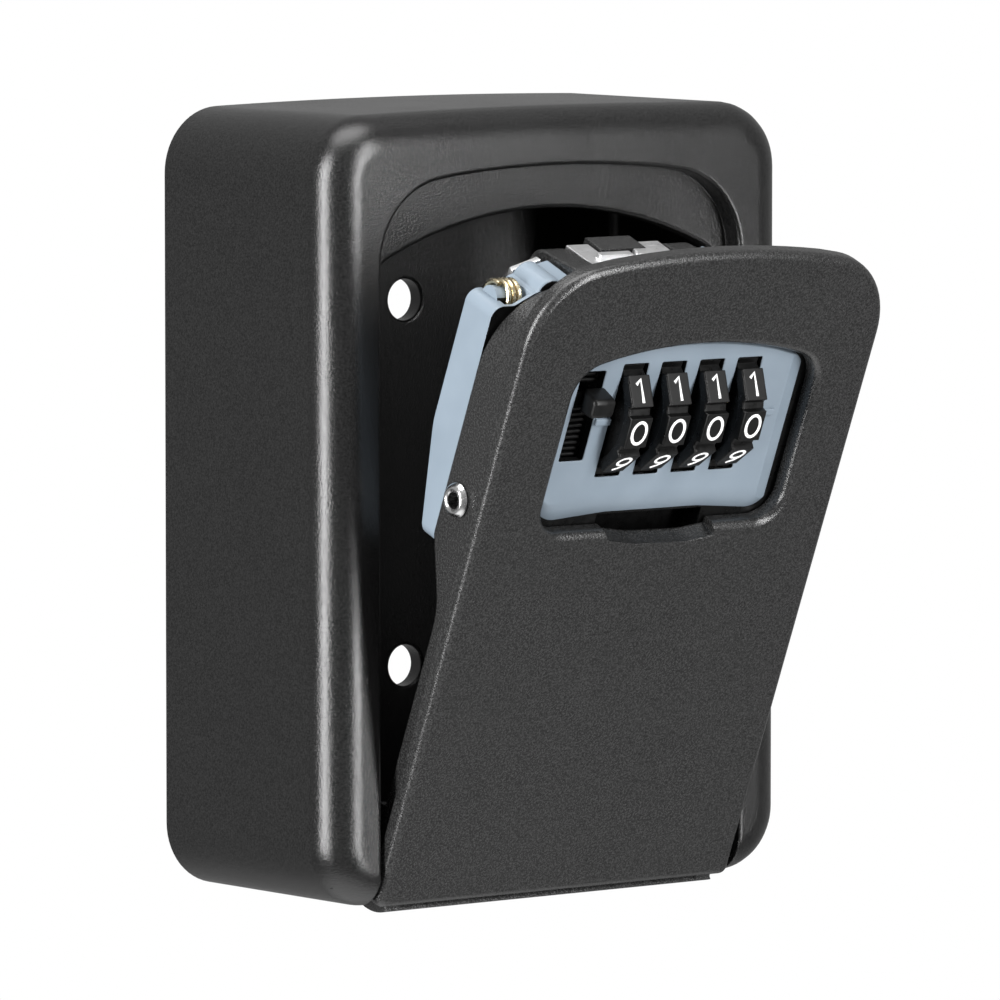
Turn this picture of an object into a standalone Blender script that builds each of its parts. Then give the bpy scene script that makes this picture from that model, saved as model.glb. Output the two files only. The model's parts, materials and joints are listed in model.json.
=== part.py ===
"""A wall-mounted key lock box: a cast case, a door hinged along its foot, and a four-dial lock on the door.

All numbers below are millimetres and degrees; the helpers turn them into metres.
World frame: origin at the centre of the rear face, front towards -Y, +X to the right, +Z up.
Door frame: x as in the world, y is the depth behind the door's front face, z is the height above its foot.
"""

from math import atan2, ceil, cos, pi, radians, sin, sqrt, tan

import bmesh
import bpy
from mathutils import Euler, Matrix, Vector

MM = 0.001
GAP = 0.3

# Case
CASE_WIDTH = 89.0
CASE_HEIGHT = 120.0
CASE_DEPTH = 42.0
CASE_CORNER = 10.0
CASE_CROWN = 0.8
FRONT_ROUNDING = 6.0
WALL = 2.5
BACK_WALL = 2.8
LEDGE_FRONT = 38.5
LEDGE_BACK = 36.0
RECESS_HALF = 34.9
RECESS_TOP = 111.0
OPENING_HALF = 32.9
OPENING_TOP = 104.3
OPENING_ARCH = 75.0
RECESS_ARCH = 200.0
RECESS_CORNER = 13.0
CAVITY_CORNER = 7.0
BELOW = -5.0
LUG_Y = (4.0 - CASE_DEPTH, -30.0)
LUG_Z = (3.2, 15.0)
SCREW_HOLE = 3.2
SCREW_SPREAD = 28.5

# Hinge: the axis in the door frame, and where the door's front face stands when it is shut
HINGE_Y = 5.95
HINGE_Z = 6.65
DOOR_PROUD = 0.5
DOOR_FOOT = 0.5
DOOR_OPEN = 22.6
HINGE_PIN = 1.5
PIN_CLEARANCE = 0.15
PIN_X = (28.6, 39.6)
HEEL = 8.4
HEEL_WALL = 2.2
HEEL_CLEARANCE = 0.9
HEEL_TURN = (-128, 20)
CHEEK_TURN = (-126, 126)

# Door
DOOR_HALF = 34.3
DOOR_TOP = 109.1
DOOR_FOOT_Z = 0.9
DOOR_ARCH = 160.0
DOOR_CORNER = 13.0
DOOR_THICK = 2.8
DOOR_EDGE = 1.2
SKIRT_HALF = 31.8
SKIRT_TOP = 102.2
SKIRT_WALL = 2.0
SKIRT_DEEP = 12.5
SKIRT_SHALLOW = 7.0
SKIRT_FOOT = 2.5
SKIRT_STEP_Z = (11.0, 48.0, 61.0)
WINDOW_X = 0.9
WINDOW_HALF = 23.4
WINDOW_FOOT = 63.3
WINDOW_TOP = 93.8

# Lock
BEZEL_Y = 2.0
BEZEL_HALF = 23.0
BEZEL_FOOT = 63.9
BEZEL_TOP = 93.4
BODY_FRONT_HALF = 29.4
BODY_FRONT_TOP = 98.5
BODY_FRONT_BACK = 13.0
BODY_HALF = 31.3
BODY_TOP = 101.6
BODY_BACK = 19.6
TRAY_HALF = 27.6
TRAY_FRONT = 3.4
TRAY_Z = (59.4, 92.0)
SCOOP_HALF = 10.2
SCOOP_TOP = 64.7
SHAFT_WALLS = ((-15.8, -14.2), (17.3, 18.9))
DIAL_SLOT = 9.4
DIAL_SLOT_BEHIND = 10.2
SLIDER_SLOT_X = (-20.5, -15.9)
SLIDER_SLOT_Z = (74.6, 89.5)
EAR_X = 18.3
EAR_Z = 97.0
EAR_RADIUS = 2.6
DIAL_Y = 7.9
DIAL_Z = 81.0
DIAL_PITCH = 7.35
DIAL_MIDDLE = 0.7
DIAL_RADIUS = 10.6
DIAL_WIDTH = 4.2
DIALS = 4
SHAFT = 1.5
SLEEVE = 3.0
CAM = 4.2
DIGITS = 10
LATCH_MIDDLE = -2.7
ARM_NEAR = 9.5
ARM_FAR = 14.3
ARM_RIVET_Y = 21.9
ARM_RIVET_Z = 96.9
COVER_BACK = 22.6
BODY_FOOT = 56.4
KNEE_Z = 74.5
KNEE_SLOPE = 0.22
HOUSING_RIVET = (9.0, 65.5)
RIVET_HOLE = 2.3
RIVET_SHANK = 2.0
RIVET_HEAD = 2.7
RIVET_BORE = 1.3
ARM_RIVET_HOLE = 1.5
ARM_RIVET_SHANK = 1.2
ARM_RIVET_HEAD = 1.9
ARM_RIVET_BORE = 0.6
SPRING_X = (24.4, 28.8)
SPRING_Y = 16.6
SPRING_Z = 95.2
SPRING_POST = 1.9
SPRING_RADIUS = 2.5
SPRING_WIRE = 0.42
SHOULDER_X = (28.6, 31.2)
SHOULDER_Z = (84.0, 95.6)
POST_X = 24.4
POST_Z = (77.4, 88.8)
CODE_SLOT = (-6.5, 6.5)
CODE_SLOT_Z = (75.1, 78.5)
CODE_TRAVEL = 4.0
COVER_HALF = 27.0
COVER_Z = (59.0, 92.4)
POCKET_HALF = 21.8
POCKET_BACK = 21.3
POCKET_Z = (74.2, 91.0)
SCREW_SHANK = 0.95
SCREW_HEAD = 2.2
HOOK_BEND = 2.4
HOOK_WIRE = 1.1
HOOK_X = -11.0
HOOK_Z = 80.0
LEAF_Z = (60.2, 60.8)
TOP_PLATE_Z = (99.0, 100.2)
STRIP_Y = (7.0, 8.4)
SLIDER_X = (-20.1, -16.2)
SLIDER_Y = (4.2, 5.3)
SLIDER_Z = (71.4, 89.0)
RIBS = 18
RIB_PITCH = 0.95
COMB_X = (-20.9, 17.0)

CRINKLE_BLACK = ("crinkle_black", (0.035, 0.035, 0.037), 0.55, 0.0)
BLUE_GREY = ("blue_grey", (0.50, 0.60, 0.71), 0.45, 0.0)
GLOSS_BLACK = ("gloss_black", (0.012, 0.012, 0.013), 0.3, 0.0)
BRIGHT_STEEL = ("bright_steel", (0.72, 0.72, 0.72), 0.28, 1.0)
DARK_STEEL = ("dark_steel", (0.32, 0.32, 0.33), 0.4, 1.0)
BRASS = ("brass", (0.80, 0.66, 0.38), 0.28, 1.0)


# ---- outlines: lists of (u, v) points -------------------------------------------------------------


def arc(centre, radius, start, end, step=15.0):
    """Points on a circle from one angle to another, in degrees."""
    count = max(2, ceil(abs(end - start) / step))
    angles = [radians(start + (end - start) * i / count) for i in range(count + 1)]
    return [(centre[0] + radius * cos(a), centre[1] + radius * sin(a)) for a in angles]


def rounded(corners, step=15.0):
    """A closed outline from corners (u, v, radius)."""
    points = []
    for i, (u, v, radius) in enumerate(corners):
        here = Vector((u, v))
        if radius == 0:
            points.append((u, v))
            continue
        back = (Vector(corners[i - 1][:2]) - here).normalized()
        on = (Vector(corners[(i + 1) % len(corners)][:2]) - here).normalized()
        half = back.angle(on) / 2
        centre = here + (back + on).normalized() * radius / sin(half)
        first = here + back * radius / tan(half) - centre
        last = here + on * radius / tan(half) - centre
        start = atan2(first.y, first.x)
        turn = (atan2(last.y, last.x) - start + pi) % (2 * pi) - pi
        points += arc(centre, radius, start * 180 / pi, (start + turn) * 180 / pi, step)
    return points


def crown(top, radius, reach):
    """Corner points of an arched top, from right to left, for |u| up to reach."""
    sides = [reach, reach / 3, -reach / 3, -reach]
    return [(u, top - radius + sqrt(radius**2 - u**2), 0) for u in sides]


def arched(half, foot, top, arch, corner, foot_corner=0.0, middle=0.0):
    """A panel outline with straight sides, rounded upper corners and an arched top."""
    shoulder = top - arch + sqrt(arch**2 - half**2)
    corners = [(-half, foot, foot_corner), (half, foot, foot_corner), (half, shoulder, corner)]
    corners += crown(top, arch, half - corner - 1.5)
    corners += [(-half, shoulder, corner)]
    return [(u + middle, v) for u, v in rounded(corners)]


def circle(centre, radius, step=22.5):
    return arc(centre, radius, 0, 360, step)[:-1]


def to_side(side, near, far, middle=0.0):
    """The span from near to far on the left (side -1) or the right (side 1) of a middle."""
    return tuple(sorted((middle + side * near, middle + side * far)))


# ---- solids -----------------------------------------------------------------------------------------

PARTS = bpy.data.collections.new("key_lock_box")
BENCH = bpy.data.collections.new("bench")

# Local axes of an extruded outline: its u, its v and the direction that it is extruded along
FRONT_VIEW = Matrix(((1, 0, 0), (0, 0, 1), (0, 1, 0))).to_4x4()
SIDE_VIEW = Matrix(((0, 0, 1), (1, 0, 0), (0, 1, 0))).to_4x4()


def frame(name, parent, place, turn=0.0):
    """An empty that carries pieces, turned about X."""
    empty = bpy.data.objects.new(name, None)
    empty.parent = parent
    empty.location = Vector(place) * MM
    empty.rotation_euler = Euler((radians(turn), 0, 0))
    PARTS.objects.link(empty)
    return empty


def object_of(mesh, name):
    """A shape on the bench: no parent and no turn, so that shapes meet exactly where their numbers say."""
    piece = bpy.data.objects.new(name, mesh)
    BENCH.objects.link(piece)
    return piece


def evaluated_mesh(piece):
    bpy.context.view_layer.update()
    return bpy.data.meshes.new_from_object(piece.evaluated_get(bpy.context.evaluated_depsgraph_get()))


def applied(piece):
    """The piece with its modifiers made part of its mesh."""
    mesh = evaluated_mesh(piece)
    piece.modifiers.clear()
    piece.data = mesh
    return piece


def mesh_of_curve(curve, matrix):
    """The curve's mesh, moved by matrix, with its caps welded and its faces out."""
    helper = object_of(curve, "outline")
    mesh = evaluated_mesh(helper)
    bpy.data.objects.remove(helper)
    shape = bmesh.new()
    shape.from_mesh(mesh)
    bmesh.ops.remove_doubles(shape, verts=shape.verts, dist=1e-6)
    bmesh.ops.transform(shape, matrix=matrix, verts=shape.verts)
    bmesh.ops.recalc_face_normals(shape, faces=shape.faces)
    shape.to_mesh(mesh)
    shape.free()
    return mesh


def extruded(outlines, span, view=FRONT_VIEW):
    """A solid from closed outlines, the first one outside and the others holes, between two depths."""
    curve = bpy.data.curves.new("outline", "CURVE")
    curve.dimensions = "2D"
    curve.fill_mode = "BOTH"
    curve.extrude = (span[1] - span[0]) / 2 * MM
    for points in outlines:
        spline = curve.splines.new("POLY")
        spline.points.add(len(points) - 1)
        spline.use_cyclic_u = True
        for point, (u, v) in zip(spline.points, points):
            point.co = (u * MM, v * MM, 0, 1)
    lift = Matrix.Translation((0, 0, (span[0] + span[1]) / 2 * MM))
    return object_of(mesh_of_curve(curve, view @ lift), "plate")


def box(x, y, z):
    size = Matrix.Diagonal([(b - a) * MM for a, b in (x, y, z)] + [1])
    middle = Matrix.Translation([(a + b) / 2 * MM for a, b in (x, y, z)])
    shape = bmesh.new()
    bmesh.ops.create_cube(shape, size=1, matrix=middle @ size)
    return object_of(made(shape), "block")


def rod(radius, x, y, z, axis="x", sides=24):
    """A cylinder along one axis, whose place on that axis is a pair and on the others a number."""
    span = {"x": x, "y": y, "z": z}[axis]
    quarter = {"x": Matrix.Rotation(pi / 2, 4, "Y"), "y": Matrix.Rotation(pi / 2, 4, "X"), "z": Matrix()}
    middle = [sum(v) / 2 if isinstance(v, tuple) else v for v in (x, y, z)]
    place = Matrix.Translation(Vector(middle) * MM) @ quarter[axis]
    size = dict(radius1=radius * MM, radius2=radius * MM, depth=(span[1] - span[0]) * MM)
    shape = bmesh.new()
    bmesh.ops.create_cone(shape, cap_ends=True, segments=sides, matrix=place, **size)
    return object_of(made(shape), "rod")


def made(shape):
    mesh = bpy.data.meshes.new("shape")
    shape.to_mesh(mesh)
    shape.free()
    return mesh


def wire(points, radius):
    """A round wire along a polyline."""
    curve = bpy.data.curves.new("wire", "CURVE")
    curve.dimensions = "3D"
    curve.bevel_depth = radius * MM
    curve.bevel_resolution = 2
    curve.use_fill_caps = True
    spline = curve.splines.new("POLY")
    spline.points.add(len(points) - 1)
    for point, place in zip(spline.points, points):
        point.co = (*[v * MM for v in place], 1)
    return object_of(mesh_of_curve(curve, Matrix()), "wire")


def turned(profile, steps=24):
    """A piece turned about Z: profile points are (radius, z), from the top down its outer side."""
    mesh = bpy.data.meshes.new("profile")
    points = [(radius * MM, 0, z * MM) for radius, z in profile]
    mesh.from_pydata(points, [(i, i + 1) for i in range(len(points) - 1)], [])
    piece = object_of(mesh, "turned")
    screw = piece.modifiers.new("turn", "SCREW")
    screw.steps = screw.render_steps = steps
    screw.use_merge_vertices = True
    screw.merge_threshold = 1e-6
    return applied(piece)


def combine(piece, operation, tools):
    for tool in tools:
        change = piece.modifiers.new(operation.lower(), "BOOLEAN")
        change.operation = operation
        change.object = tool
        applied(piece)
        bpy.data.objects.remove(tool)
    return piece


def add(piece, *tools):
    return combine(piece, "UNION", tools)


def cut(piece, *tools):
    return combine(piece, "DIFFERENCE", tools)


def round_edges(piece, width, chosen, segments=3):
    """Rounds the sharp edges whose two ends both pass the test, which takes a point in millimetres."""
    shape = bmesh.new()
    shape.from_mesh(piece.data)
    edges = [e for e in shape.edges if all(chosen(v.co / MM) for v in e.verts)]
    sharp = [e for e in edges if e.calc_face_angle(0) > radians(40)]
    bmesh.ops.bevel(shape, geom=sharp, offset=width * MM, segments=segments, profile=0.5, affect="EDGES")
    shape.to_mesh(piece.data)
    shape.free()
    return piece


def finish(piece, name, look, parent, place=(0, 0, 0)):
    """Makes a shape from the bench one of the parts, with its name, its material and its place."""
    BENCH.objects.unlink(piece)
    PARTS.objects.link(piece)
    piece.parent = parent
    piece.location = Vector(place) * MM
    piece.name = piece.data.name = name
    label, colour, roughness, metallic = look
    material = bpy.data.materials.get(label) or bpy.data.materials.new(label)
    material.use_nodes = True
    shader = material.node_tree.nodes["Principled BSDF"]
    shader.inputs["Base Color"].default_value = (*colour, 1)
    shader.inputs["Roughness"].default_value = roughness
    shader.inputs["Metallic"].default_value = metallic
    piece.data.materials.clear()
    piece.data.materials.append(material)
    piece.data.shade_smooth()
    piece.data.set_sharp_from_angle(angle=radians(35))
    return piece


# ---- case -------------------------------------------------------------------------------------------


def case_shell(world):
    """The cast case: a box open at the front, with a recess for the door and a ledge for the latch.
    Heights are above the bottom of the case here, and its frame stands on the bottom."""
    half = CASE_WIDTH / 2
    outline = arched(half, 0, CASE_HEIGHT, half**2 / (2 * CASE_CROWN), CASE_CORNER, CASE_CORNER)
    shell = extruded([outline], (-CASE_DEPTH, 0))
    round_edges(shell, FRONT_ROUNDING, lambda p: p.y < GAP - CASE_DEPTH, 4)
    cut(shell, extruded([_cavity()], (-LEDGE_BACK, -BACK_WALL)))
    for side in (-1, 1):
        add(shell, box(to_side(side, RECESS_HALF - 0.5, half - 3), LUG_Y, LUG_Z))
    recess = arched(RECESS_HALF, BELOW, RECESS_TOP, RECESS_ARCH, RECESS_CORNER)
    cut(shell, extruded([recess], (-CASE_DEPTH - 5, -LEDGE_FRONT)))
    opening = arched(OPENING_HALF, BELOW, OPENING_TOP, OPENING_ARCH, 4)
    cut(shell, extruded([opening], (-CASE_DEPTH - 4, -LEDGE_BACK + 2)))
    _heel_way(shell)
    for side in (-1, 1):
        z = CASE_HEIGHT / 2 + side * SCREW_SPREAD
        cut(shell, rod(SCREW_HOLE, 0, (-BACK_WALL - 2, 2), z, "y"))
        span = to_side(side, RECESS_HALF - 1, RECESS_HALF + 5)
        cut(shell, rod(HINGE_PIN + PIN_CLEARANCE, span, *hinge_place()))
    return finish(shell, "case_shell", CRINKLE_BLACK, world)


def _cavity():
    half = CASE_WIDTH / 2 - WALL
    top = CASE_HEIGHT - WALL - CASE_CROWN
    corners = ((-half, WALL), (half, WALL), (half, top), (-half, top))
    return rounded([(u, v, CAVITY_CORNER) for u, v in corners])


def _heel_way(shell):
    """The room in which the door's foot swings, open below."""
    y, z = hinge_place()
    reach = HEEL + HEEL_CLEARANCE
    cut(shell, rod(reach, (-RECESS_HALF - 0.1, RECESS_HALF + 0.1), y, z, sides=48))
    cut(shell, box((-OPENING_HALF, OPENING_HALF), (-LEDGE_BACK - 1, y + reach), (BELOW, z)))


def hinge_place():
    """The hinge axis in the case's frame, as (y, z)."""
    return -CASE_DEPTH - DOOR_PROUD + HINGE_Y, DOOR_FOOT + HINGE_Z


def hinge_pins(world):
    for name, side in (("hinge_pin_left", -1), ("hinge_pin_right", 1)):
        finish(rod(HINGE_PIN, to_side(side, *PIN_X), *hinge_place()), name, BRIGHT_STEEL, world)


# ---- door -------------------------------------------------------------------------------------------


def window_outline():
    """The window over the dials: an arched top, and a foot with a scoop for a fingertip."""
    foot = WINDOW_FOOT
    lower = [(-WINDOW_HALF, foot, 4.5), (-11.6, foot + 0.3, 1.5)]
    lower += [(-10.0, foot - 1.7, 2.0), (-3.5, foot - 2.6, 8)]
    lower += [(-u, v, radius) for u, v, radius in reversed(lower)]
    return [(u + WINDOW_X, v) for u, v in rounded(lower + window_head(WINDOW_HALF, WINDOW_TOP))]


def bezel_outline():
    """The housing's front inside the window, with a foot that arches up in the middle."""
    half, foot = BEZEL_HALF, BEZEL_FOOT
    lower = [(-half, foot, 4.3), (-9, foot + 1.2, 0), (9, foot + 1.2, 0), (half, foot, 4.3)]
    return [(u + WINDOW_X, v) for u, v in rounded(lower + window_head(half, BEZEL_TOP))]


def window_head(half, top):
    """The corners of the window's arched top, from right to left."""
    shoulder = top - OPENING_ARCH + sqrt(OPENING_ARCH**2 - half**2)
    return [(half, shoulder, 5.5)] + crown(top, OPENING_ARCH, half - 7) + [(-half, shoulder, 5.5)]


def skirt():
    """The wall behind the plate: deep round the lock, shallow below it, and open along the top."""
    inner = DOOR_CORNER - SKIRT_WALL
    outside = arched(SKIRT_HALF, SKIRT_FOOT, SKIRT_TOP, OPENING_ARCH, DOOR_CORNER)
    inside = arched(SKIRT_HALF - SKIRT_WALL, -1, SKIRT_TOP - SKIRT_WALL, OPENING_ARCH, inner)
    wall = extruded([outside], (DOOR_THICK - 0.4, SKIRT_DEEP))
    cut(wall, extruded([inside], (0, SKIRT_DEEP + 1)))
    foot, bend, top = SKIRT_STEP_Z
    step = [(SKIRT_SHALLOW, foot), (SKIRT_SHALLOW, bend), (SKIRT_DEEP + 1, top), (SKIRT_DEEP + 1, foot)]
    cut(wall, extruded([step], (-40, 40), SIDE_VIEW))
    top_gap = (LATCH_MIDDLE - ARM_FAR + 1, LATCH_MIDDLE + ARM_FAR - 1)
    return cut(wall, box(top_gap, (DOOR_THICK - 1, SKIRT_DEEP + 1), (SKIRT_TOP - 12, DOOR_TOP)))


def heel():
    """The door's foot, curled back about the hinge axis, with a cheek at each end for a pin."""
    axis = (HINGE_Y, HINGE_Z)
    start, end = HEEL_TURN
    curl = arc(axis, HEEL, start, end, 7.5) + arc(axis, HEEL - HEEL_WALL, end, start + 3)
    lip = extruded([curl], (-SKIRT_HALF, SKIRT_HALF), SIDE_VIEW)
    cheek = arc(axis, HEEL - 0.1, *CHEEK_TURN, 7.5)
    for side in (-1, 1):
        span = to_side(side, SKIRT_HALF - SKIRT_WALL - 0.6, SKIRT_HALF - 0.1)
        add(lip, extruded([cheek], span, SIDE_VIEW))
    return lip


def arm(side):
    """One of the two arms that reach back over the lock from the top of the door."""
    span = to_side(side, ARM_NEAR, ARM_FAR, LATCH_MIDDLE)
    profile = [(DOOR_THICK - 0.4, 98.8), (14, 98.8), (19, 94.6), (22, 95), (22, 99.6), (19.5, 100.3)]
    profile += [(14, 100.9), (DOOR_THICK - 0.4, 101.0)]
    bar = extruded([profile], span, SIDE_VIEW)
    return add(bar, rod(3.2, span, ARM_RIVET_Y, ARM_RIVET_Z))


def door_panel(door):
    outline = arched(DOOR_HALF, DOOR_FOOT_Z, DOOR_TOP, DOOR_ARCH, DOOR_CORNER, 1.5)
    panel = extruded([outline], (0, DOOR_THICK))
    round_edges(panel, DOOR_EDGE, lambda p: p.y < 0.1, 2)
    add(panel, skirt(), heel(), arm(-1), arm(1))
    cut(panel, extruded([window_outline()], (-2, DOOR_THICK + 2)))
    for side in (-1, 1):
        through = to_side(side, SKIRT_HALF - 3.8, SKIRT_HALF + 1.2)
        cut(panel, rod(HINGE_PIN + GAP, through, HINGE_Y, HINGE_Z))
        cut(panel, rod(RIVET_HOLE, through, *HOUSING_RIVET))
        arm_through = to_side(side, ARM_NEAR - 1, ARM_FAR + 1, LATCH_MIDDLE)
        cut(panel, rod(ARM_RIVET_HOLE, arm_through, ARM_RIVET_Y, ARM_RIVET_Z))
    return finish(panel, "door_panel", CRINKLE_BLACK, door)


# ---- lock housing -----------------------------------------------------------------------------------


def dial_places():
    first = DIAL_MIDDLE - DIAL_PITCH * (DIALS - 1) / 2
    return [first + DIAL_PITCH * i for i in range(DIALS)]


def body_outline(half, top):
    return arched(half, BODY_FOOT, top, OPENING_ARCH, 12, 2)


def lock_body(door):
    """The blue-grey housing: a tray open at the back, whose front shows through the window."""
    front = extruded([body_outline(BODY_FRONT_HALF, BODY_FRONT_TOP)], (DOOR_THICK + GAP, BODY_FRONT_BACK))
    back = extruded([body_outline(BODY_HALF, BODY_TOP)], (SKIRT_DEEP + GAP, BODY_BACK))
    bezel = extruded([bezel_outline()], (BEZEL_Y, DOOR_THICK + 1))
    body = add(front, back, bezel)
    for side in (-1, 1):
        ear_x = LATCH_MIDDLE + side * EAR_X
        add(body, rod(EAR_RADIUS, ear_x, (SKIRT_DEEP + GAP, BODY_BACK), EAR_Z, "y"))
    cut(body, box((-TRAY_HALF, TRAY_HALF), (TRAY_FRONT, BODY_BACK + 1), TRAY_Z))
    _scoop(body)
    _posts(body)
    for x in SHAFT_WALLS:
        add(body, box(x, (DOOR_THICK + GAP, BODY_FRONT_BACK), (DIAL_Z - 9, TRAY_Z[1] + 0.5)))
    cut(body, rod(SHAFT + 0.2, (-17.5, 20), DIAL_Y, DIAL_Z))
    _open_front(body)
    _open_top(body)
    _shoulders(body)
    cut(body, behind(0, BODY_FOOT - 1, BODY_HALF + 0.7))
    for side in (-1, 1):
        cut(body, rod(RIVET_HOLE, to_side(side, 26, BODY_HALF + 0.7), *HOUSING_RIVET))
    return finish(body, "lock_body", BLUE_GREY, door)


def _scoop(body):
    """The notch in the housing's foot behind the window's scoop, closed by a wall further back."""
    cut(body, box((-SCOOP_HALF + WINDOW_X, SCOOP_HALF + WINDOW_X), (1, 8), (BODY_FOOT - 6.4, SCOOP_TOP)))
    backing = (WINDOW_X - SCOOP_HALF - 1.2, WINDOW_X + SCOOP_HALF + 1.2)
    add(body, box(backing, (7.6, 9.2), (58.1, SCOOP_TOP + 1.8)))
    add(body, box(backing, (DOOR_THICK + GAP, 9.2), (SCOOP_TOP, SCOOP_TOP + 1.8)))


def _posts(body):
    """Four posts, each with a hole for a cover screw."""
    for side in (-1, 1):
        x = side * POST_X
        for z in POST_Z:
            add(body, rod(2.3, x, (DOOR_THICK + GAP, BODY_BACK), z, "y", 16))
            cut(body, rod(1.15, x, (14, BODY_BACK + 1), z, "y", 12))


def _open_front(body):
    """The slots for the dials and the slider."""
    for x in dial_places():
        reach = DIAL_WIDTH / 2 + GAP
        cut(body, box((x - reach, x + reach), (-1, 5), (DIAL_Z - DIAL_SLOT, DIAL_Z + DIAL_SLOT)))
        behind_z = (DIAL_Z - DIAL_SLOT_BEHIND, DIAL_Z + DIAL_SLOT_BEHIND)
        cut(body, box((x - reach, x + reach), (2.6, 5), behind_z))
    cut(body, box(SLIDER_SLOT_X, (-1, 5), SLIDER_SLOT_Z))


def _open_top(body):
    """The way for the latch and the arms, and a notch at each side for a spring on its post."""
    latch_way = (LATCH_MIDDLE - ARM_FAR - 0.5, LATCH_MIDDLE + ARM_FAR + 0.5)
    cut(body, box(latch_way, (0, BODY_BACK + 1), (93.7, 105)))
    cut(body, box((-21.7, -9.3), (STRIP_Y[0] - 0.4, STRIP_Y[1] + 0.5), (91.0, 105)))
    for side in (-1, 1):
        near, far = to_side(side, *SPRING_X)
        cut(body, box((near, far), (13.4, BODY_BACK + 1), (91.8, 105)))
        add(body, rod(SPRING_POST, (near - 0.5, far + 0.5), SPRING_Y, SPRING_Z, sides=16))


def _shoulders(body):
    """A low wall outside each spring."""
    near, far = SHOULDER_X
    foot, top = SHOULDER_Z
    for side in (-1, 1):
        corners = [(near, foot, 0), (far, foot, 0), (far, top, 2), (near, top, 0)]
        outline = rounded([(side * u, v, radius) for u, v, radius in corners])
        add(body, extruded([outline], (SKIRT_DEEP + GAP, BODY_BACK)))


def back_at(z):
    """The depth of the housing's back, which slopes forward below its knee."""
    return BODY_BACK - max(0, KNEE_Z - z) * KNEE_SLOPE


def behind(gap, foot, half):
    """All that is further back than the housing's back and a gap, from a foot up."""
    line = [(back_at(foot) + gap, foot), (BODY_BACK + gap, KNEE_Z), (BODY_BACK + gap, 110)]
    return extruded([line + [(40, 110), (40, foot)]], (-half, half), SIDE_VIEW)


def lock_cover(door):
    """The black cast cover at the back, bent like the housing's back, with a lug that stands in the
    latch's notch."""
    foot, top = COVER_Z
    corners = ((-COVER_HALF, foot), (COVER_HALF, foot), (COVER_HALF, top), (-COVER_HALF, top))
    cover = extruded([rounded([(u, v, 3) for u, v in corners])], (BODY_BACK - 6, COVER_BACK + 1))
    combine(cover, "INTERSECT", [behind(GAP, foot - 1, COVER_HALF + 1)])
    cut(cover, behind(COVER_BACK - BODY_BACK, foot - 1, COVER_HALF + 1))
    lug = ((LATCH_MIDDLE - 4.3, LATCH_MIDDLE + 4.3), (BODY_BACK + GAP, 24.2), (90, 100.6))
    add(cover, box(*lug))
    cut(cover, box((-POCKET_HALF, POCKET_HALF), (BODY_BACK - 1, POCKET_BACK), POCKET_Z))
    cut(cover, box(CODE_SLOT, (BODY_BACK - 1, COVER_BACK + 1), CODE_SLOT_Z))
    for side in (-1, 1):
        for z in POST_Z:
            cut(cover, rod(SCREW_SHANK + 0.45, side * POST_X, (BODY_BACK - 1, COVER_BACK + 1), z, "y", 16))
    cut(cover, rod(HOOK_WIRE + 0.1, HOOK_X, (BODY_BACK, COVER_BACK + 1), HOOK_Z, "y", 16))
    return finish(cover, "lock_cover", CRINKLE_BLACK, door)


def cover_screws(door):
    """Four pan-head screws that hold the cover to the housing."""
    head = [(0, 1.3), (1.4, 1.3), (SCREW_HEAD, 0.7), (SCREW_HEAD, 0)]
    profile = head + [(SCREW_SHANK, 0), (SCREW_SHANK, -7.2), (0, -7.2)]
    names = iter(("cover_screw_1", "cover_screw_2", "cover_screw_3", "cover_screw_4"))
    for z in POST_Z:
        for side in (-1, 1):
            place = (side * POST_X, COVER_BACK + GAP, z)
            screw = finish(turned(profile, 16), next(names), DARK_STEEL, door, place)
            screw.rotation_euler = Euler((-pi / 2, 0, 0))


def key_hook(door):
    """The wire hook on the back of the cover that a key ring hangs from."""
    y = COVER_BACK - 1.1
    far = y + 4.6 + HOOK_BEND
    bend = arc((far - HOOK_BEND, HOOK_Z + HOOK_BEND), HOOK_BEND, -90, 0, 30)
    line = [(y, HOOK_Z), (y + 2.5, HOOK_Z)] + bend + [(far, HOOK_Z + 5.0), (far, HOOK_Z + 7.5)]
    points = [(HOOK_X, depth, height) for depth, height in line]
    finish(wire(points, HOOK_WIRE), "key_hook", BRIGHT_STEEL, door)


def hollow_rivet(spans, radii, y, z):
    """A hollow rivet along X: its head, its shank and its bore, each a span and a radius."""
    head, shank, bore = (rod(radius, span, y, z) for radius, span in zip(radii, spans))
    return cut(add(head, shank), bore)


def housing_rivets(door):
    """Hollow rivets through the sides of the skirt that hold the housing in the door."""
    radii = (RIVET_HEAD, RIVET_SHANK, RIVET_BORE)
    for name, side in (("housing_rivet_left", -1), ("housing_rivet_right", 1)):
        head = to_side(side, SKIRT_HALF + GAP, SKIRT_HALF + 0.9)
        shank = to_side(side, 26.4, SKIRT_HALF + 0.6)
        rivet = hollow_rivet((head, shank, to_side(side, 25, 34)), radii, *HOUSING_RIVET)
        finish(rivet, name, BRIGHT_STEEL, door)


def arm_rivets(door):
    """Hollow rivets in the ends of the arms, which the springs' long legs bear on."""
    radii = (ARM_RIVET_HEAD, ARM_RIVET_SHANK, ARM_RIVET_BORE)
    for name, side in (("arm_rivet_left", -1), ("arm_rivet_right", 1)):
        head = to_side(side, ARM_FAR + GAP, ARM_FAR + 0.9, LATCH_MIDDLE)
        shank = to_side(side, ARM_NEAR + 0.3, ARM_FAR + 0.6, LATCH_MIDDLE)
        bore = to_side(side, 5, 20, LATCH_MIDDLE)
        rivet = hollow_rivet((head, shank, bore), radii, ARM_RIVET_Y, ARM_RIVET_Z)
        finish(rivet, name, BRIGHT_STEEL, door)


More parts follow.
